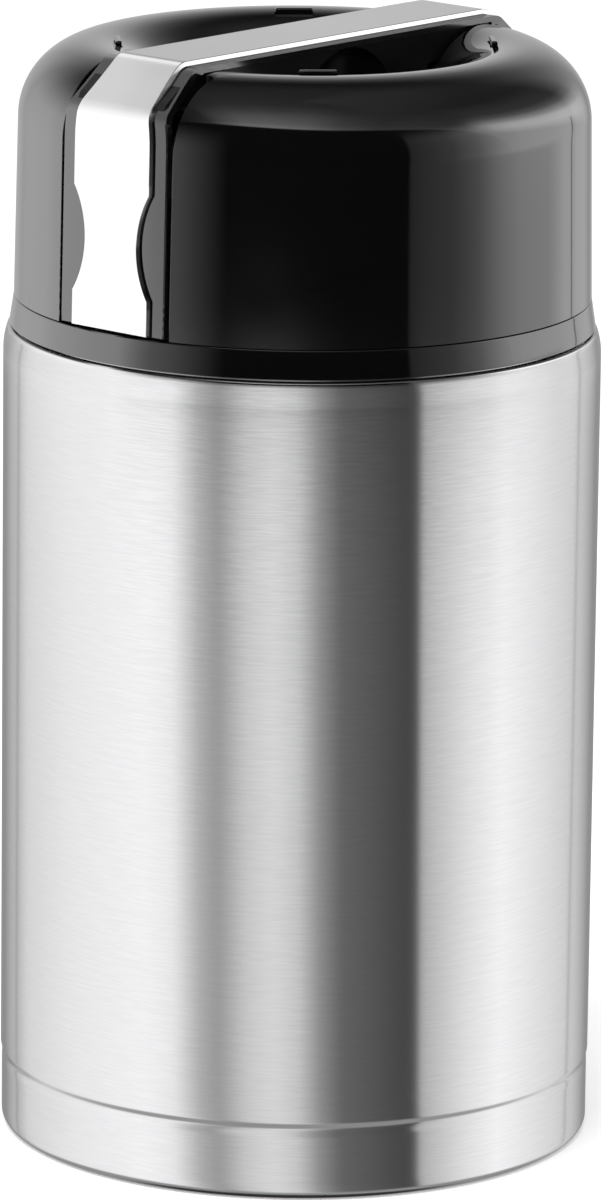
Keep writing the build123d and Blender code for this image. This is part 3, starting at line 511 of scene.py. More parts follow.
SILICONE = matt(
    "silicone", (0.62, 0.63, 0.64), (0.68, 0.69, 0.70),
    roughness=0.5, fine=700.0, height=0.00002, Subsurface_Weight=0.2, Subsurface_Scale=0.002)
FOAM = matt(
    "rigid foam", (0.78, 0.77, 0.72), (0.86, 0.85, 0.81),
    roughness=0.85, fine=2600.0, height=0.0002)
GETTER = matt(
    "sintered getter", (0.09, 0.09, 0.095), (0.16, 0.16, 0.165),
    roughness=0.8, fine=5000.0, height=0.0001)
SEAL_BEAD = matt(
    "sealing bead", (0.32, 0.31, 0.30), (0.40, 0.39, 0.37),
    roughness=0.45, fine=2500.0, height=0.00005, Metallic=1.0)

NODE_FINISH = {
    "outer_shell": SHELL_STEEL, "inner_vessel": VESSEL_STEEL, "base_plate": VESSEL_STEEL,
    "vacuum_plug": SEAL_BEAD, "getter_cup": VESSEL_STEEL, "getter_pellet": GETTER,
    "stopper_foam": FOAM, "lid_foam": FOAM, "stopper_gasket": SILICONE, "lid_seal": SILICONE,
    "vent_seal": SILICONE, "stopper_body": STOPPER_BLACK, "stopper_bottom": STOPPER_BLACK,
    "vent_stem": STOPPER_BLACK, "vent_bezel": CHROME, "vent_spring": SPRING_STEEL,
    "vent_button": BUTTON_GREY, "lid_liner": LINER_BLACK, "lid_shell": LID_BLACK,
    "lid_base_ring": LID_BLACK, "lid_dish": LID_BLACK, "handle_frame": FRAME_BLACK,
    "handle_plate": CHROME, "handle_screws": SPRING_STEEL,
}
for name, material in NODE_FINISH.items():
    nodes[name].data.materials.clear()
    nodes[name].data.materials.append(material)

# ================================================================ the jar
def eased(value, low, high):
    """0 up to low, 1 from high on, and between them the smooth step t squared (3 - 2 t)."""
    t = np.clip((value - low) / (high - low), 0, 1)
    return t**2 * (3 - 2 * t)


# outer shell: curled foot, a rolled line where the foot dips and then steps out to the wall, a
# long soft shoulder up to the seat under the lid's ring, deck and neck, one sheet thick
line_heights = np.linspace(FOOT_LINE_BOTTOM, FOOT_LINE_TOP, 31)
dip = FOOT_LINE_DIP * eased(line_heights, FOOT_LINE_BOTTOM, FOOT_LINE_LOW)
step_out = BODY_RADIUS - FOOT_RADIUS + FOOT_LINE_DIP
step = step_out * eased(line_heights, FOOT_LINE_LOW, FOOT_LINE_TOP)
foot_step = np.column_stack((FOOT_RADIUS - dip + step, line_heights))
shell_path = joined(
    straight((FOOT_LAND[0], 0), (FOOT_LAND[1], 0), 1),
    arc((FOOT_LAND[1], FOOT_CURL), FOOT_CURL, -90, 0, 8),
    straight((FOOT_RADIUS, FOOT_CURL), foot_step[0], 6),
    foot_step,
    rounded(
        [foot_step[-1], (BODY_RADIUS, SHOULDER_CORNER), (SHOULDER_END, RING_SEAT),
         (DECK_STEP[0], RING_SEAT), (DECK_STEP[1], DECK), (NECK_RADIUS, DECK), (NECK_RADIUS, RIM)],
        (SHOULDER_BEND, SEAT_BEND, 0, 0, 0), 10, 3.0,
    ),
)
mesh("shell_sheet", turned(sheet_loop(shell_path, SHELL_WALL), 384),
     "jar", SHELL_STEEL, ["outer_shell"])

# inner vessel: deep bowl, shoulder and mouth, with the lip turned out under the neck's edge
mouth, lip = MOUTH_RADIUS + VESSEL_WALL, RIM - VESSEL_WALL
vessel_path = rounded(
    [(0, VESSEL_FLOOR), (VESSEL_RADIUS, VESSEL_FLOOR), (VESSEL_RADIUS, VESSEL_SHOULDER[0]),
     (mouth, VESSEL_SHOULDER[1]), (mouth, lip), (NECK_RADIUS - SHELL_WALL - WELD_GAP, lip)],
    VESSEL_BENDS, 10,
)
mesh("vessel_sheet", turned(sheet_loop(vessel_path, VESSEL_WALL)),
     "jar", VESSEL_STEEL, ["inner_vessel"])

# base plate: shallow cup in the foot, its face sloping down at 45 degrees to its skirt
inset = SHELL_WALL + WELD_GAP
base_path = rounded(
    [(BASE_HOLE, BASE_FACE), (BASE_FACE_RADIUS, BASE_FACE),
     (BASE_FACE_RADIUS + BASE_FACE - inset, inset), (FOOT_RADIUS - inset, inset),
     (FOOT_RADIUS - inset, inset + BASE_SKIRT)],
    (BASE_BEND, BASE_BEND, BASE_BEND), 6,
)
mesh("base_sheet", turned(sheet_loop(base_path, VESSEL_WALL)),
     "jar", VESSEL_STEEL, ["base_plate"])


def thread(radius, depth, half_width, low, turns, inwards=False):
    """A ridge on a right-hand helix: (r cos a, r sin a, low + lead a / 360 + w), whose height
    over the wall follows a rounded bump across w and fades to nothing at both ends."""
    a = np.linspace(0, 2 * np.pi * turns, int(120 * turns))[:, None]
    w = np.linspace(-1, 1, 9)[None, :]
    ridge = np.clip(RIDGE_BUMP * (1 - w**2), 0, 1)
    fade = np.clip(np.minimum(a, a[-1] - a) / RIDGE_FADE, 0, 1) ** 0.5
    side = -1 if inwards else 1
    top = radius + side * (depth * ridge * fade - RIDGE_SINK)
    root = np.broadcast_to(radius - side * THREAD_ROOT, top.shape)
    z = np.broadcast_to(low + THREAD_LEAD * a / (2 * np.pi) + half_width * w, top.shape)

    def lay(r):
        return np.stack((r * np.cos(a), r * np.sin(a), z), -1)
    return walled(lay(top), lay(root), np.ones((top.shape[0] - 1, top.shape[1] - 1), bool))


half_lead = THREAD_LEAD / 2  # the turning pieces' ridges run between those of the jar
mesh("neck_thread", thread(NECK_RADIUS, 0.55, 0.9, NECK_THREAD, 1.35),
     "jar", VESSEL_STEEL)
mesh("mouth_thread", thread(MOUTH_RADIUS, 0.24, 0.8, MOUTH_THREAD, 1.2, True),
     "jar", VESSEL_STEEL)
mesh("stopper_thread", thread(STOPPER_RADIUS, 0.36, 0.8, MOUTH_THREAD + half_lead, 0.95),
     "stopper", STOPPER_BLACK)
mesh("liner_thread", thread(LINER_RADIUS, 0.5, 0.8, NECK_THREAD + half_lead, 1.25, True),
     "lid", LINER_BLACK)


def coil(steps=144):
    """The vent's spring: a wire along the helix (r cos a, r sin a, z), with z growing evenly.
    Each row is a circle in the path's radial and upright directions, and the first and last
    rows are points, which close the wire."""
    a = np.linspace(0, 2 * np.pi * COIL_TURNS, steps)
    a = np.concatenate((a[:1], a, a[-1:]))[:, None]
    wire = np.full(a.shape, COIL_WIRE)
    wire[[0, -1]] = 0
    b = np.linspace(0, 2 * np.pi, 16, endpoint=False)[None, :]
    climb = (COIL_HIGH - COIL_LOW) / (2 * np.pi * COIL_TURNS)
    slope = np.arctan(climb / COIL_RADIUS)
    r = COIL_RADIUS + wire * np.cos(b)
    along = -wire * np.sin(b) * np.sin(slope)
    z = COIL_LOW + climb * a + wire * np.sin(b) * np.cos(slope)
    points = np.stack(
        (r * np.cos(a) - along * np.sin(a), r * np.sin(a) + along * np.cos(a), z), -1)
    return points.reshape(-1, 3), cells(*points.shape[:2], False, True).reshape(-1, 4)


spring = mesh("vent_coil", coil(), "stopper", SPRING_STEEL, ["vent_spring"])
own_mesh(spring)

# ================================================================ the lid
def lid_piece(name, shape, replaces=(), soft_edges=None, width=0.3):
    """A gloss black piece that rides on the lid."""
    return mesh(name, shape, "lid", LID_BLACK, replaces, soft_edges, width)


# base ring: flared band with a small lip over the shoulder
lip = RING_RADIUS - RING_LIP
ring_section = np.concatenate((
    rounded([(lip, RING_ROOF), (lip, RING_BOTTOM), (RING_RADIUS, RING_BOTTOM),
             (WALL_RADIUS, RING_TOP), (RING_INSIDE + 0.18, RING_TOP)], (0.2, 0.06, 0.3), 5, 1.0),
    [(RING_INSIDE, RING_TOP), (RING_INSIDE, RING_ROOF)],
))
lid_piece("ring_band", turned(ring_section, 384), ["lid_base_ring"])


def lid_columns(radius):
    """Compass angles of the lid's columns at each radius. Near the handle they follow lines of
    equal Y, asin(y / radius), so that the slots' sides are straight; elsewhere they are even."""
    lines = np.array([0, 3, 6, 8.8, BRIDGE_SLOT, 11.3, LEG_SLOT, 13.6])
    near = np.degrees(np.arcsin(lines / radius))
    window = 45 - TAB_WINDOW
    rise = near[:, -1:] + (window - near[:, -1:]) * np.linspace(0, 1, 16)[None, 1:]
    rest = np.concatenate(
        (np.linspace(window, 90 - window, 9)[1:], np.linspace(90 - window, 90, 25)[1:]))
    quarter = np.concatenate((near, rise, np.broadcast_to(rest, (len(radius), len(rest)))), 1)
    there, back = quarter[:, :-1], quarter[:, :0:-1]
    return np.radians(np.concatenate((there, 180 - back, 180 + there, 360 - back), 1))


def lid_grid(profile):
    """A profile (radius, height) carried round the lid's columns."""
    a = lid_columns(profile[:, :1])
    r, z = profile[:, :1], np.broadcast_to(profile[:, 1:], a.shape)
    return np.stack((r * np.cos(a), r * np.sin(a), z), -1)


def cell_middles(grid):
    """The mean of each cell's four corners, on a grid closed in its columns."""
    side = np.roll(grid, -1, 1)
    return (grid[:-1] + grid[1:] + side[:-1] + side[1:]) / 4


def on_roll(radius, angles):
    """Points on a circle about the roll's centre, q degrees past the crest: centre + radius
    (-sin q, cos q)."""
    q = np.radians(angles)
    return roll_centre + radius * np.column_stack((-np.sin(q), np.cos(q)))


def lid_profile(inset):
    """The lid's outer line, pulled in by an inset: drafted wall, shoulder arc about one centre,
    and the crest's roll into the dish about another."""
    reach = SHOULDER_RADIUS - inset
    shoulder = np.radians(np.concatenate(
        (np.linspace(0, step_angle, 22), np.linspace(step_angle, 90, 6)[1:])))
    return np.concatenate((
        straight((WALL_RADIUS - inset, WALL_BOTTOM), (CREST_RADIUS + reach, WALL_TOP), 16)[:-1],
        crest_centre + reach * np.column_stack((np.cos(shoulder), np.sin(shoulder))),
        on_roll(ROLL_RADIUS - inset, roll_angles[1:]),
    ))


# dome: rows meet the slots' ends and the windows' edges, and the cells in them are left out
crest_centre = np.array((CREST_RADIUS, WALL_TOP))
roll_centre = np.array((CREST_RADIUS, CREST - ROLL_RADIUS))
step_angle = np.degrees(np.arccos((SLOT_STEP_RADIUS - CREST_RADIUS) / SHOULDER_RADIUS))
window_radii = np.array([TAB_RADIUS + TAB_WINDOW_HALF, TAB_RADIUS - TAB_WINDOW_HALF])
window_angles = np.degrees(np.arcsin((CREST_RADIUS - window_radii) / ROLL_RADIUS))
slot_angle = np.degrees(np.arccos((BRIDGE_SLOT_LOW - roll_centre[1]) / ROLL_RADIUS))
roll_angles = np.concatenate((
    np.linspace(0, window_angles[0], 7), np.linspace(*window_angles, 5)[1:],
    np.linspace(window_angles[1], slot_angle, 14)[1:], np.linspace(slot_angle, ROLL_ANGLE, 6)[1:],
))
outer, inner = lid_grid(lid_profile(0)), lid_grid(lid_profile(LID_THICKNESS))
middle = cell_middles(outer)
across, height = np.abs(middle[..., 1]), middle[..., 2]
radius = np.hypot(middle[..., 0], middle[..., 1])
beside_x = np.abs(middle[..., 0]) > across
leg_slot = beside_x & (across < LEG_SLOT) & (radius > SLOT_STEP_RADIUS)
bridge_slot = (beside_x & (across < BRIDGE_SLOT) & (radius < SLOT_STEP_RADIUS + 0.01)
               & (height > BRIDGE_SLOT_LOW))
compass = np.degrees(np.arctan2(middle[..., 1], middle[..., 0])) % 90
tab_window = (np.abs(compass - 45) < TAB_WINDOW) & (np.abs(radius - TAB_RADIUS) < TAB_WINDOW_HALF)


def slot_edges(a, b):
    """Full rounding on edges along the slots' sides, and none elsewhere."""
    y = (np.abs(a[:, 1]) + np.abs(b[:, 1])) / 2
    level = np.abs(a[:, 1] - b[:, 1]) < NEAR
    ra, rb = np.hypot(a[:, 0], a[:, 1]), np.hypot(b[:, 0], b[:, 1])
    outside = np.minimum(ra, rb) > SLOT_STEP_RADIUS - NEAR_END
    inside = np.maximum(ra, rb) < SLOT_STEP_RADIUS + NEAR_END
    on_leg = (np.abs(y - LEG_SLOT) < NEAR) & outside
    on_bridge = (np.abs(y - BRIDGE_SLOT) < NEAR) & inside
    return (level & (on_leg | on_bridge)).astype(float)


dome = walled(outer, inner, ~(leg_slot | bridge_slot | tab_window), True)
lid_piece("lid_dome", dome, ["lid_shell"], slot_edges, 0.45)

# dish: bowl that carries on from the rolled rim, its flange under the rim, and the snap tabs
slope = radians(ROLL_ANGLE)
rim_edge = on_roll(ROLL_RADIUS, [ROLL_ANGLE])[0]
dish_foot = rim_edge[0] - (rim_edge[1] - DISH_FLOOR) / tan(slope)
bowl_top = rim_edge - SNAP_GAP * np.array((cos(slope), sin(slope)))
bowl_path = rounded([(0, DISH_FLOOR), (dish_foot, DISH_FLOOR), bowl_top], (DISH_BEND,), 10, 1.5)
lid_piece("dish_bowl", turned(sheet_loop(bowl_path, -DISH_WALL), 240), ["lid_dish"])


def flange_line(inset):
    """The flange's arc under the rim, from near the crest to just past the bowl's edge."""
    angles = np.concatenate((
        np.linspace(FLANGE_START, FLANGE_CUT, 12), np.linspace(FLANGE_CUT, ROLL_ANGLE + 2, 8)[1:]))
    return on_roll(ROLL_RADIUS - LID_THICKNESS - SNAP_GAP - inset, angles)


flange_top, flange_under = lid_grid(flange_line(0)), lid_grid(flange_line(FLANGE_THICKNESS))
middle = cell_middles(flange_top)
cut = ((np.abs(middle[..., 1]) < BRIDGE_SLOT) & (np.abs(middle[..., 0]) > ARCH_RADIUS)
       & (middle[..., 2] > BRIDGE_SLOT_LOW))
lid_piece("dish_flange", walled(flange_top, flange_under, ~cut, True))


def tab(turn):
    """One snap tab: an upright slab, as two grids at its two sides, turned to its compass
    angle."""
    y, z = np.meshgrid(np.linspace(-TAB_HALF_WIDTH, TAB_HALF_WIDTH, 9),
                       np.linspace(TAB_BOTTOM, TAB_TOP, 6))
    c, s = cos(radians(turn)), sin(radians(turn))
    half = TAB_THICKNESS / 2

    def side(x):
        return np.stack((x * c - y * s, x * s + y * c, z), -1)
    return walled(side(TAB_RADIUS + half), side(TAB_RADIUS - half), np.ones((5, 8), bool))


def tab_rims(a, b):
    """Edges round a tab's top."""
    return (np.minimum(a[:, 2], b[:, 2]) > TAB_TOP - NEAR_END).astype(float)


for count, turn in enumerate((45, 135, 225, 315)):
    lid_piece(f"snap_tab_{count}", tab(turn), soft_edges=tab_rims)

# ================================================================ the handle
# the outer line of one leg and half the bar, from the leg's foot up, then the same mirrored
lean = tan(radians(DRAFT))
bend_low = HANDLE_HALF - (BEVEL_BOTTOM - HANDLE_FOOT) * lean
bend_high = bend_low - BEVEL_RUN
waist_half = np.sqrt(WAIST_RADIUS**2 - (WAIST_RADIUS - WAIST_DEPTH) ** 2)
waist_low, waist_high = WAIST_HEIGHT - waist_half, WAIST_HEIGHT + waist_half
leg_heights = np.concatenate((
    np.linspace(HANDLE_FOOT, waist_low, 5)[:-1], np.linspace(waist_low, waist_high, 41),
    np.linspace(waist_high, BEVEL_BOTTOM - 2.5, 7)[1:],
))
leg = np.column_stack((HANDLE_HALF - (leg_heights - HANDLE_FOOT) * lean, leg_heights))
bends = rounded(
    [leg[-1], (bend_low, BEVEL_BOTTOM), (bend_high, HANDLE_TOP), (BAR_END + 0.1, HANDLE_TOP)],
    (BEND_RADIUS, BEND_RADIUS), 10, 1.5)
half_line = joined(leg, bends, straight((BAR_END - 0.1, HANDLE_TOP), (0, HANDLE_TOP), 14))
strap_line = np.concatenate((half_line, (half_line[:-1] * (-1, 1))[::-1]))


def strap(outer_line, inner_line, outer_y, inner_y):
    """A strap between two lines in the XZ plane, laid out over grids of Y: row by row along
    the line, column by column across it. A line may also differ from column to column."""
    def lay(line, y):
        line = line if line.ndim == 3 else np.broadcast_to(line[:, None], (*y.shape, 2))
        return np.stack((line[..., 0], y, line[..., 1]), -1)
    kept = np.ones((len(outer_line) - 1, outer_y.shape[1] - 1), bool)
    return walled(lay(outer_line, outer_y), lay(inner_line, inner_y), kept)


def rims(half):
    """Edges that run along a strap's two sides, where Y is the half width at that height."""
    heights, widths = half_line[:-1, 1], half[:len(half_line) - 1]

    def on_rim(p):
        return np.abs(np.abs(p[:, 1]) - np.interp(p[:, 2], heights, widths)) < NEAR_SIDE

    def chosen(a, b):
        return (on_rim(a) & on_rim(b) & (np.sign(a[:, 1]) == np.sign(b[:, 1]))).astype(float)
    return chosen


# plate: bright strap, waisted on both legs by an arc cut into each side, narrower on the bar
narrowing = BAR_NARROWING * eased(strap_line[:, 1], NARROWING_START, HANDLE_TOP)
from_waist = strap_line[:, 1] - WAIST_HEIGHT
chord = np.sqrt(np.maximum(WAIST_RADIUS**2 - from_waist**2, 0))
bite = np.maximum(chord - (WAIST_RADIUS - WAIST_DEPTH), 0)
plate_width = PLATE_HALF_WIDTH - narrowing - bite
plate_back = plate_width + PLATE_FLARE
even = np.linspace(-1, 1, 11)[None, :]
plate = strap(strap_line, beside(strap_line, PLATE_THICKNESS),
              plate_width[:, None] * even, plate_back[:, None] * even)
mesh("handle_strap", plate, "lid", CHROME, ["handle_plate"], rims(plate_width), 0.08)

# frame: wider black strap under the plate, thinner where it is the bar's flange, with a groove
# beside the plate on the legs. Its columns across Y are mirrored from the middle out.
frame_line = beside(strap_line, PLATE_THICKNESS + FRAME_GAP)
frame_under = beside(strap_line, PLATE_THICKNESS + FRAME_THICKNESS)
on_bar = np.abs(strap_line[:, 0]) < BAR_END
frame_under[on_bar, 0] = strap_line[on_bar, 0]
frame_under[on_bar, 1] = BAR_UNDERSIDE
frame_width = FRAME_HALF_WIDTH - narrowing
seam = plate_back + SEAM_GAP
far_seam = seam + SEAM_SIDE + SEAM_WIDTH
half_y = np.stack((0 * seam, seam / 2, seam, seam + SEAM_SIDE, far_seam, far_seam + SEAM_SIDE,
                   frame_width - 0.5, frame_width), 1)
frame_y = np.concatenate((-half_y[:, :0:-1], half_y), 1)
middle_column = half_y.shape[1] - 1
from_middle = np.abs(np.arange(frame_y.shape[1]) - middle_column)
in_seam = np.isin(from_middle, (3, 4)) & (strap_line[:, 1:] < BEVEL_BOTTOM - 1)
sunk_line = beside(strap_line, PLATE_THICKNESS + SEAM_DEPTH)
seamed_line = np.where(in_seam[..., None], sunk_line[:, None], frame_line[:, None])
mesh("frame_strap", strap(seamed_line, frame_under, frame_y, frame_y),
     "lid", FRAME_BLACK, ["handle_frame"], rims(frame_width), 0.22)


def bridge():
    """The bridge under the bar, as two faces at Y = -BRIDGE_HALF_WIDTH and its opposite. A row
    at height z runs from the finger arch, sqrt(arch radius squared - (z - arch centre)
    squared), out to the bowl's wall, and from the ledge up on to the underside of the bevel."""
    rise = ARCH_RADIUS * np.sin(np.radians(np.linspace(0, 89, 40)))
    z = np.sort(np.concatenate((
        np.linspace(DISH_FLOOR, ARCH_CENTRE, 6), ARCH_CENTRE + rise[1:],
        [ARCH_CENTRE + ARCH_RADIUS, BAR_UNDERSIDE, BRIDGE_LEDGE])))
    above = np.clip(z - ARCH_CENTRE, 0, ARCH_RADIUS)
    arch = np.sqrt(np.clip(ARCH_RADIUS**2 - above**2, 0, None))
    bowl = np.interp(z, bowl_path[:, 1], bowl_path[:, 0]) - BRIDGE_CLEAR
    end = np.where(z < BRIDGE_LEDGE, bowl, BRIDGE_REACH)
    wall = np.sqrt(np.maximum(end**2 - BRIDGE_FIT**2, 0))
    beyond = np.interp(z, *UNDER_BEVEL)
    arch, wall, beyond = arch[:, None], wall[:, None], beyond[:, None]
    t1, t2 = np.linspace(0, 1, 12)[None, :], np.linspace(0, 1, 6)[None, 1:]
    x = np.concatenate((arch + (wall - arch) * t1, wall + (beyond - wall) * t2), 1)
    kept = np.ones((len(z) - 1, x.shape[1] - 1), bool)
    kept[:, 11:] = (z[:-1] >= BRIDGE_LEDGE)[:, None]
    heights = np.broadcast_to(z[:, None], x.shape)

    def lay(side, y):
        return np.stack((side * x, np.full(x.shape, y), heights), -1)
    (right, faces), (left, more) = (
        walled(lay(side, -BRIDGE_HALF_WIDTH), lay(side, BRIDGE_HALF_WIDTH), kept)
        for side in (1, -1))
    return np.concatenate((right, left)), np.concatenate((faces, more + len(right)))


def arch_rims(a, b):
    """Edges along the arch on the bridge's two faces."""
    def on_arch(p):
        reach = np.hypot(p[:, 0], np.maximum(p[:, 2] - ARCH_CENTRE, 0))
        on_face = np.abs(np.abs(p[:, 1]) - BRIDGE_HALF_WIDTH) < NEAR
        return on_face & (np.abs(reach - ARCH_RADIUS) < NEAR)
    return (on_arch(a) & on_arch(b) & (np.abs(a[:, 1] - b[:, 1]) < NEAR)).astype(float)


mesh("frame_bridge", bridge(), "lid", ARCH_BLACK, soft_edges=arch_rims, width=0.8)

# ================================================================ floor, light and camera
VIEW_AZIMUTH, VIEW_ELEVATION, VIEW_ROLL = radians(-48.8), radians(13.19), radians(0.67)
VIEW_DISTANCE = 1.4279
FOCAL_LENGTH, PICTURE_HEIGHT, SENSOR = 8318, 1200, 36.0  # in pixels, pixels and mm
TARGET = Vector((0, 0, 0.0965))
TOWARDS = Vector((sin(VIEW_AZIMUTH), -cos(VIEW_AZIMUTH), 0))
RIGHT = Vector((cos(VIEW_AZIMUTH), sin(VIEW_AZIMUTH), 0))
TENT_RADIUS = 1.1
IN_DEGREES = 180 / np.pi

# Brightness of the tent's panels as stops: by compass angle, in degrees from the camera to its
# right, and by a share from 0 to 1 of a height or a length.
STEEL_BELT = (
    (-180, .3), (-157, .3), (-144, .57), (-137, .6), (-128, .85), (-96, 1.06), (-60, 1.2),
    (-48, 1.1), (-38, .57), (-30, .39), (-19, .78), (-9, .92), (0, .76), (8, .35), (16, .16),
    (46.3, .055), (47.1, .55), (69, 1), (84, 1.2), (107, .98), (137, .7), (157, .3), (180, .3))
LEFT_PANEL = (
    (-180, 0), (-165, .04), (-150, .32), (-138, .8), (-122, 1.1), (-100, 1.2), (-75, 1.14),
    (-66, .66), (-60, .42), (-51, .3), (-42, .15), (-34, .04), (-30, 0), (180, 0))
RIGHT_PANEL = (
    (-180, 0), (40.9, 0), (41.7, .08), (60, .2), (72, .46), (84, .97), (94, 1.2), (104, 1.18),
    (126, .97), (138, .72), (147, .36), (158, 0), (180, 0))
BACK_GLOW = (
    (-180, .56), (-160, .38), (-148, .2), (-138, 0), (134, 0), (148, .34), (160, .36), (180, .56))
RIGHT_BY_RISE = (
    (0, .62), (.34, .62), (.42, .92), (.465, .88), (.5, .53), (.56, .16), (.62, .05), (.8, 0),
    (1, 0))
LAMP_BY_RISE = (
    (0, 0), (.015, 1), (.067, .68), (.17, .45), (.27, .2), (.37, .09), (.55, .05), (1, .01))
LAMP_BY_SIDE = (
    (0, 0), (.2, .05), (.25, .15), (.28, .45), (.34, .85), (.4, .9), (.5, .75), (.6, .37),
    (.7, .2), (1, .1))
STRIP_BY_LENGTH = (
    (0, 1.1), (.12, 1.05), (.2, .95), (.3, .9), (.42, .8), (.56, .8), (.66, 1), (.74, 1),
    (.8, .7), (.86, 0))
SEAMS = ((-138, -3.5), (132.5, 12.0))  # compass angle, and the height where the seam ends


def stage_piece(name, grid, material):
    """A piece of the set, from a grid of points that is closed in its columns."""
    faces = cells(*grid.shape[:2], False, True).reshape(-1, 4)
    piece = new_object(name, grid.reshape(-1, 3), faces, material)
    return piece


def bare_material(name):
    """A material with no shader yet: the material, its Tree and its surface socket."""
    material = bpy.data.materials.new(name)
    material.use_nodes = True
    material.node_tree.nodes.clear()
    output = material.node_tree.nodes.new("ShaderNodeOutputMaterial")
    return material, Tree(material.node_tree), output.inputs[0]


def floor_finish():
    """Pale floor: plain diffuse, with a little glow of its own for the camera, so that it is
    white away from the object and still shows the soft shadow near it."""
    material, t, surface = bare_material("pale floor")
    diffuse = t.add("ShaderNodeBsdfDiffuse", 0, {"Color": (0.9, 0.9, 0.9, 1)})
    camera_ray = t.add("ShaderNodeLightPath", "Is Camera Ray")
    glow = t.add("ShaderNodeEmission", 0, {"Strength": t.times(camera_ray, 0.22)})
    t.feed(surface, t.add("ShaderNodeAddShader", 0, {0: diffuse, 1: glow}))
    return material


def by_compass(t, angle, stops):
    """Brightness by an angle from -180 to 180 degrees."""
    top = max(light for _, light in stops)
    share = t.between(angle, -180, 180, smooth=False)
    return t.times(t.ramp(share, [((a + 180) / 360, light / top) for a, light in stops]), top)


def side_panels(t, turn, rise):
    """What lights the lid from the sides: a left and a right panel and a faint glow behind. The
    right panel ends in a sloping upper edge and is dimmed low in its middle."""
    past_edge = t.minus(rise, t.between(turn, 78, 178, 38, 5, False))
    edged = t.times(t.ramp(t.between(past_edge, -40, 40, smooth=False), RIGHT_BY_RISE), 1 / 0.62)
    humped = t.between(turn, 66, 88)
    flat = t.times(t.between(rise, 44, 30), t.minus(1.0, humped))
    low = t.times(t.between(rise, 5.0, -1.0), t.between(turn, 44, 70), t.between(turn, 128, 110))
    right_gain = t.times(t.plus(t.times(edged, humped), flat), t.minus(1.0, t.times(low, 0.28)))
    haze = t.times(t.between(turn, 30, 70), t.between(turn, 178, 140),
                   t.between(rise, 20, 45, 0, 0.04))
    return t.plus(
        t.times(by_compass(t, turn, LEFT_PANEL), t.between(rise, 48, 14)),
        t.times(by_compass(t, turn, RIGHT_PANEL), right_gain),
        t.times(by_compass(t, turn, BACK_GLOW), t.between(rise, 56, 16)),
        haze, t.between(rise, 55, 75, 0.0, 0.03))


def soft_lamp(t, up, front, right):
    """The lamp overhead: bright along its lower edge, which bows upwards to both sides."""
    tilt = t.times(t.math("ARCTAN2", up, front), IN_DEGREES)
    off_middle = t.minus(right, 0.13)
    above = t.minus(tilt, t.plus(49.6, t.times(off_middle, off_middle, 24.0)))
    return t.times(
        t.ramp(t.math("DIVIDE", above, 90), LAMP_BY_RISE),
        t.ramp(t.between(right, -1, 1, smooth=False), LAMP_BY_SIDE), t.between(up, 0.0, 0.1))


def narrow_strip(t, place, up):
    """A narrow strip along X, for the handle's plate."""
    aside = t.math("ABSOLUTE", t.minus(t.dot(place, (0, 1, 0)), 0.66))
    length = t.between(t.dot(place, (1, 0, 0)), -0.9, 0.9, smooth=False)
    return t.times(
        t.ramp(length, STRIP_BY_LENGTH), t.between(aside, 0.07, 0.045), t.between(up, 0.03, 0.12))


def steel_belt(t, turn, rise, ahead):
    """What lights the steel: a belt of soft panels below the horizon, leaning a little and
    brighter in front, over a plain grey that darkens downwards."""
    leaning = t.plus(turn, t.times(t.plus(rise, 10.0), 0.3))
    lift = t.times(t.between(ahead, 0.1, 0.7), t.between(rise, -10, -5.5, 0.0, 0.22))
    belt_part = t.between(rise, -38, -26)
    under = t.times(t.minus(1.0, belt_part), t.between(rise, -66, -52, 0.03, 0.34))
    return t.plus(t.times(by_compass(t, leaning, STEEL_BELT), t.plus(1.0, lift), belt_part), under)


def tent_finish():
    """Light tent, by compass angle from the camera (turn) and elevation (rise), both in
    degrees: the steel's belt below the lid's panels, lamp and strip, with black card between
    them. Two thin dim gaps are the seams between the side panels."""
    material, t, surface = bare_material("light tent")
    place = t.add("ShaderNodeTexCoord", "Object")
    front, right, up = t.dot(place, TOWARDS), t.dot(place, RIGHT), t.dot(place, (0, 0, 1))
    level = t.math("SQRT", t.plus(t.times(front, front), t.times(right, right)))
    ahead = t.math("DIVIDE", front, level)
    turn = t.times(t.math("ARCTAN2", right, front), IN_DEGREES)
    rise = t.times(t.math("ARCTAN2", up, level), IN_DEGREES)
    lid = t.plus(side_panels(t, turn, rise), soft_lamp(t, up, front, right))
    lid = t.math("MAXIMUM", lid, narrow_strip(t, place, up))
    lid_part = t.between(t.minus(rise, t.times(ahead, 1.3)), -3.6, -3.0)
    steel = t.times(steel_belt(t, turn, rise, ahead), t.minus(1.0, lid_part))
    total = t.plus(t.times(lid, lid_part), steel)
    for angle, end in SEAMS:
        gap = t.between(t.math("ABSOLUTE", t.minus(turn, angle)), 0.4, 1.0, 0.6, 0.0)
        total = t.times(total, t.minus(1.0, t.times(gap, t.between(rise, end + 1, end - 1))))
    t.feed(surface, t.add("ShaderNodeEmission", 0, {"Strength": total}))
    material.cycles.emission_sampling = "NONE"
    return material


angles = np.linspace(0, 2 * np.pi, 96, endpoint=False)
rings = np.array([0.0, 0.3, 1.0, 5.0])[:, None]
disc = np.stack((rings * np.cos(angles), rings * np.sin(angles), 0 * rings * angles), -1)
floor = stage_piece("floor", disc, floor_finish())
floor.visible_glossy = False

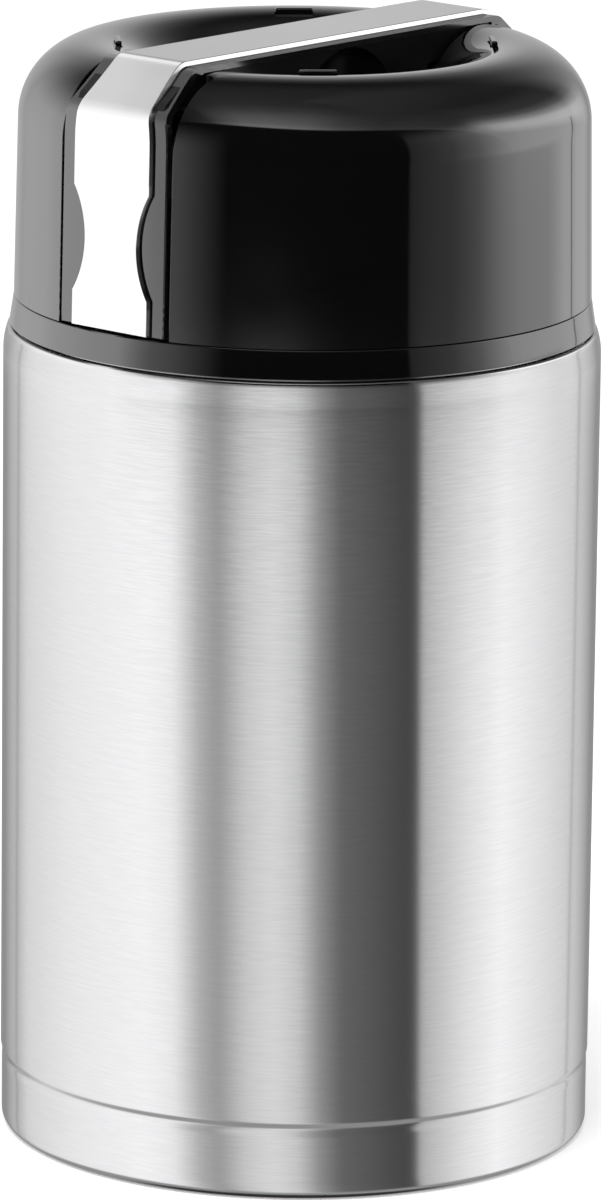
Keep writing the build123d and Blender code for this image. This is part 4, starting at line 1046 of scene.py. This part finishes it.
turns, rises = np.radians(np.arange(0, 360, 3.0)), np.radians(np.linspace(-89.9, 89.9, 61))[:, None]
ball = TENT_RADIUS * np.stack((
    np.cos(rises) * np.cos(turns), np.cos(rises) * np.sin(turns), np.sin(rises) + 0 * turns), -1)
tent = stage_piece("light_tent", ball, tent_finish())
for ray in ("camera", "diffuse", "transmission", "volume_scatter", "shadow"):
    setattr(tent, f"visible_{ray}", False)

# the world is white, and a little dimmer to diffuse rays
world = bpy.data.worlds.new("white studio")
bpy.context.scene.world = world
world.use_nodes = True
t = Tree(world.node_tree)
rays = world.node_tree.nodes.new("ShaderNodeLightPath").outputs
seen = t.math("MAXIMUM", rays["Is Glossy Ray"], rays["Is Transmission Ray"])
seen = t.math("MAXIMUM", rays["Is Camera Ray"], seen)
background = world.node_tree.nodes["Background"].inputs
background["Color"].default_value = (1, 1, 1, 1)
t.feed(background["Strength"], t.between(seen, 0.0, 1.0, 0.85, 1.0, False))

lamp_data = bpy.data.lights.new("overhead lamp", "AREA")
lamp_data.shape = "RECTANGLE"
lamp_data.size, lamp_data.size_y = 0.8, 0.6
lamp_data.energy = 9.0
overhead = bpy.data.objects.new("overhead lamp", lamp_data)
bpy.context.scene.collection.objects.link(overhead)
overhead.location = TOWARDS * 0.45 - RIGHT * 0.2 + Vector((0, 0, 1.2))
overhead.rotation_euler = (TARGET - overhead.location).to_track_quat("-Z", "Y").to_euler()
overhead.visible_glossy = False

camera_data = bpy.data.cameras.new("camera")
camera_data.sensor_width = SENSOR
camera_data.lens = FOCAL_LENGTH / PICTURE_HEIGHT * SENSOR
camera_data.shift_x, camera_data.shift_y = 0.00079, -0.0216
camera_data.clip_start, camera_data.clip_end = 0.05, 50.0
camera = bpy.data.objects.new("camera", camera_data)
bpy.context.scene.collection.objects.link(camera)
back = TOWARDS * cos(VIEW_ELEVATION) + Vector((0, 0, sin(VIEW_ELEVATION)))
level_up = back.cross(RIGHT)
side = RIGHT * cos(VIEW_ROLL) + level_up * sin(VIEW_ROLL)
top = level_up * cos(VIEW_ROLL) - RIGHT * sin(VIEW_ROLL)
facing = Matrix((side, top, back)).transposed().to_4x4()
camera.matrix_world = Matrix.Translation(TARGET + back * VIEW_DISTANCE) @ facing
bpy.context.scene.camera = camera
bpy.context.scene.view_settings.view_transform = "Standard"
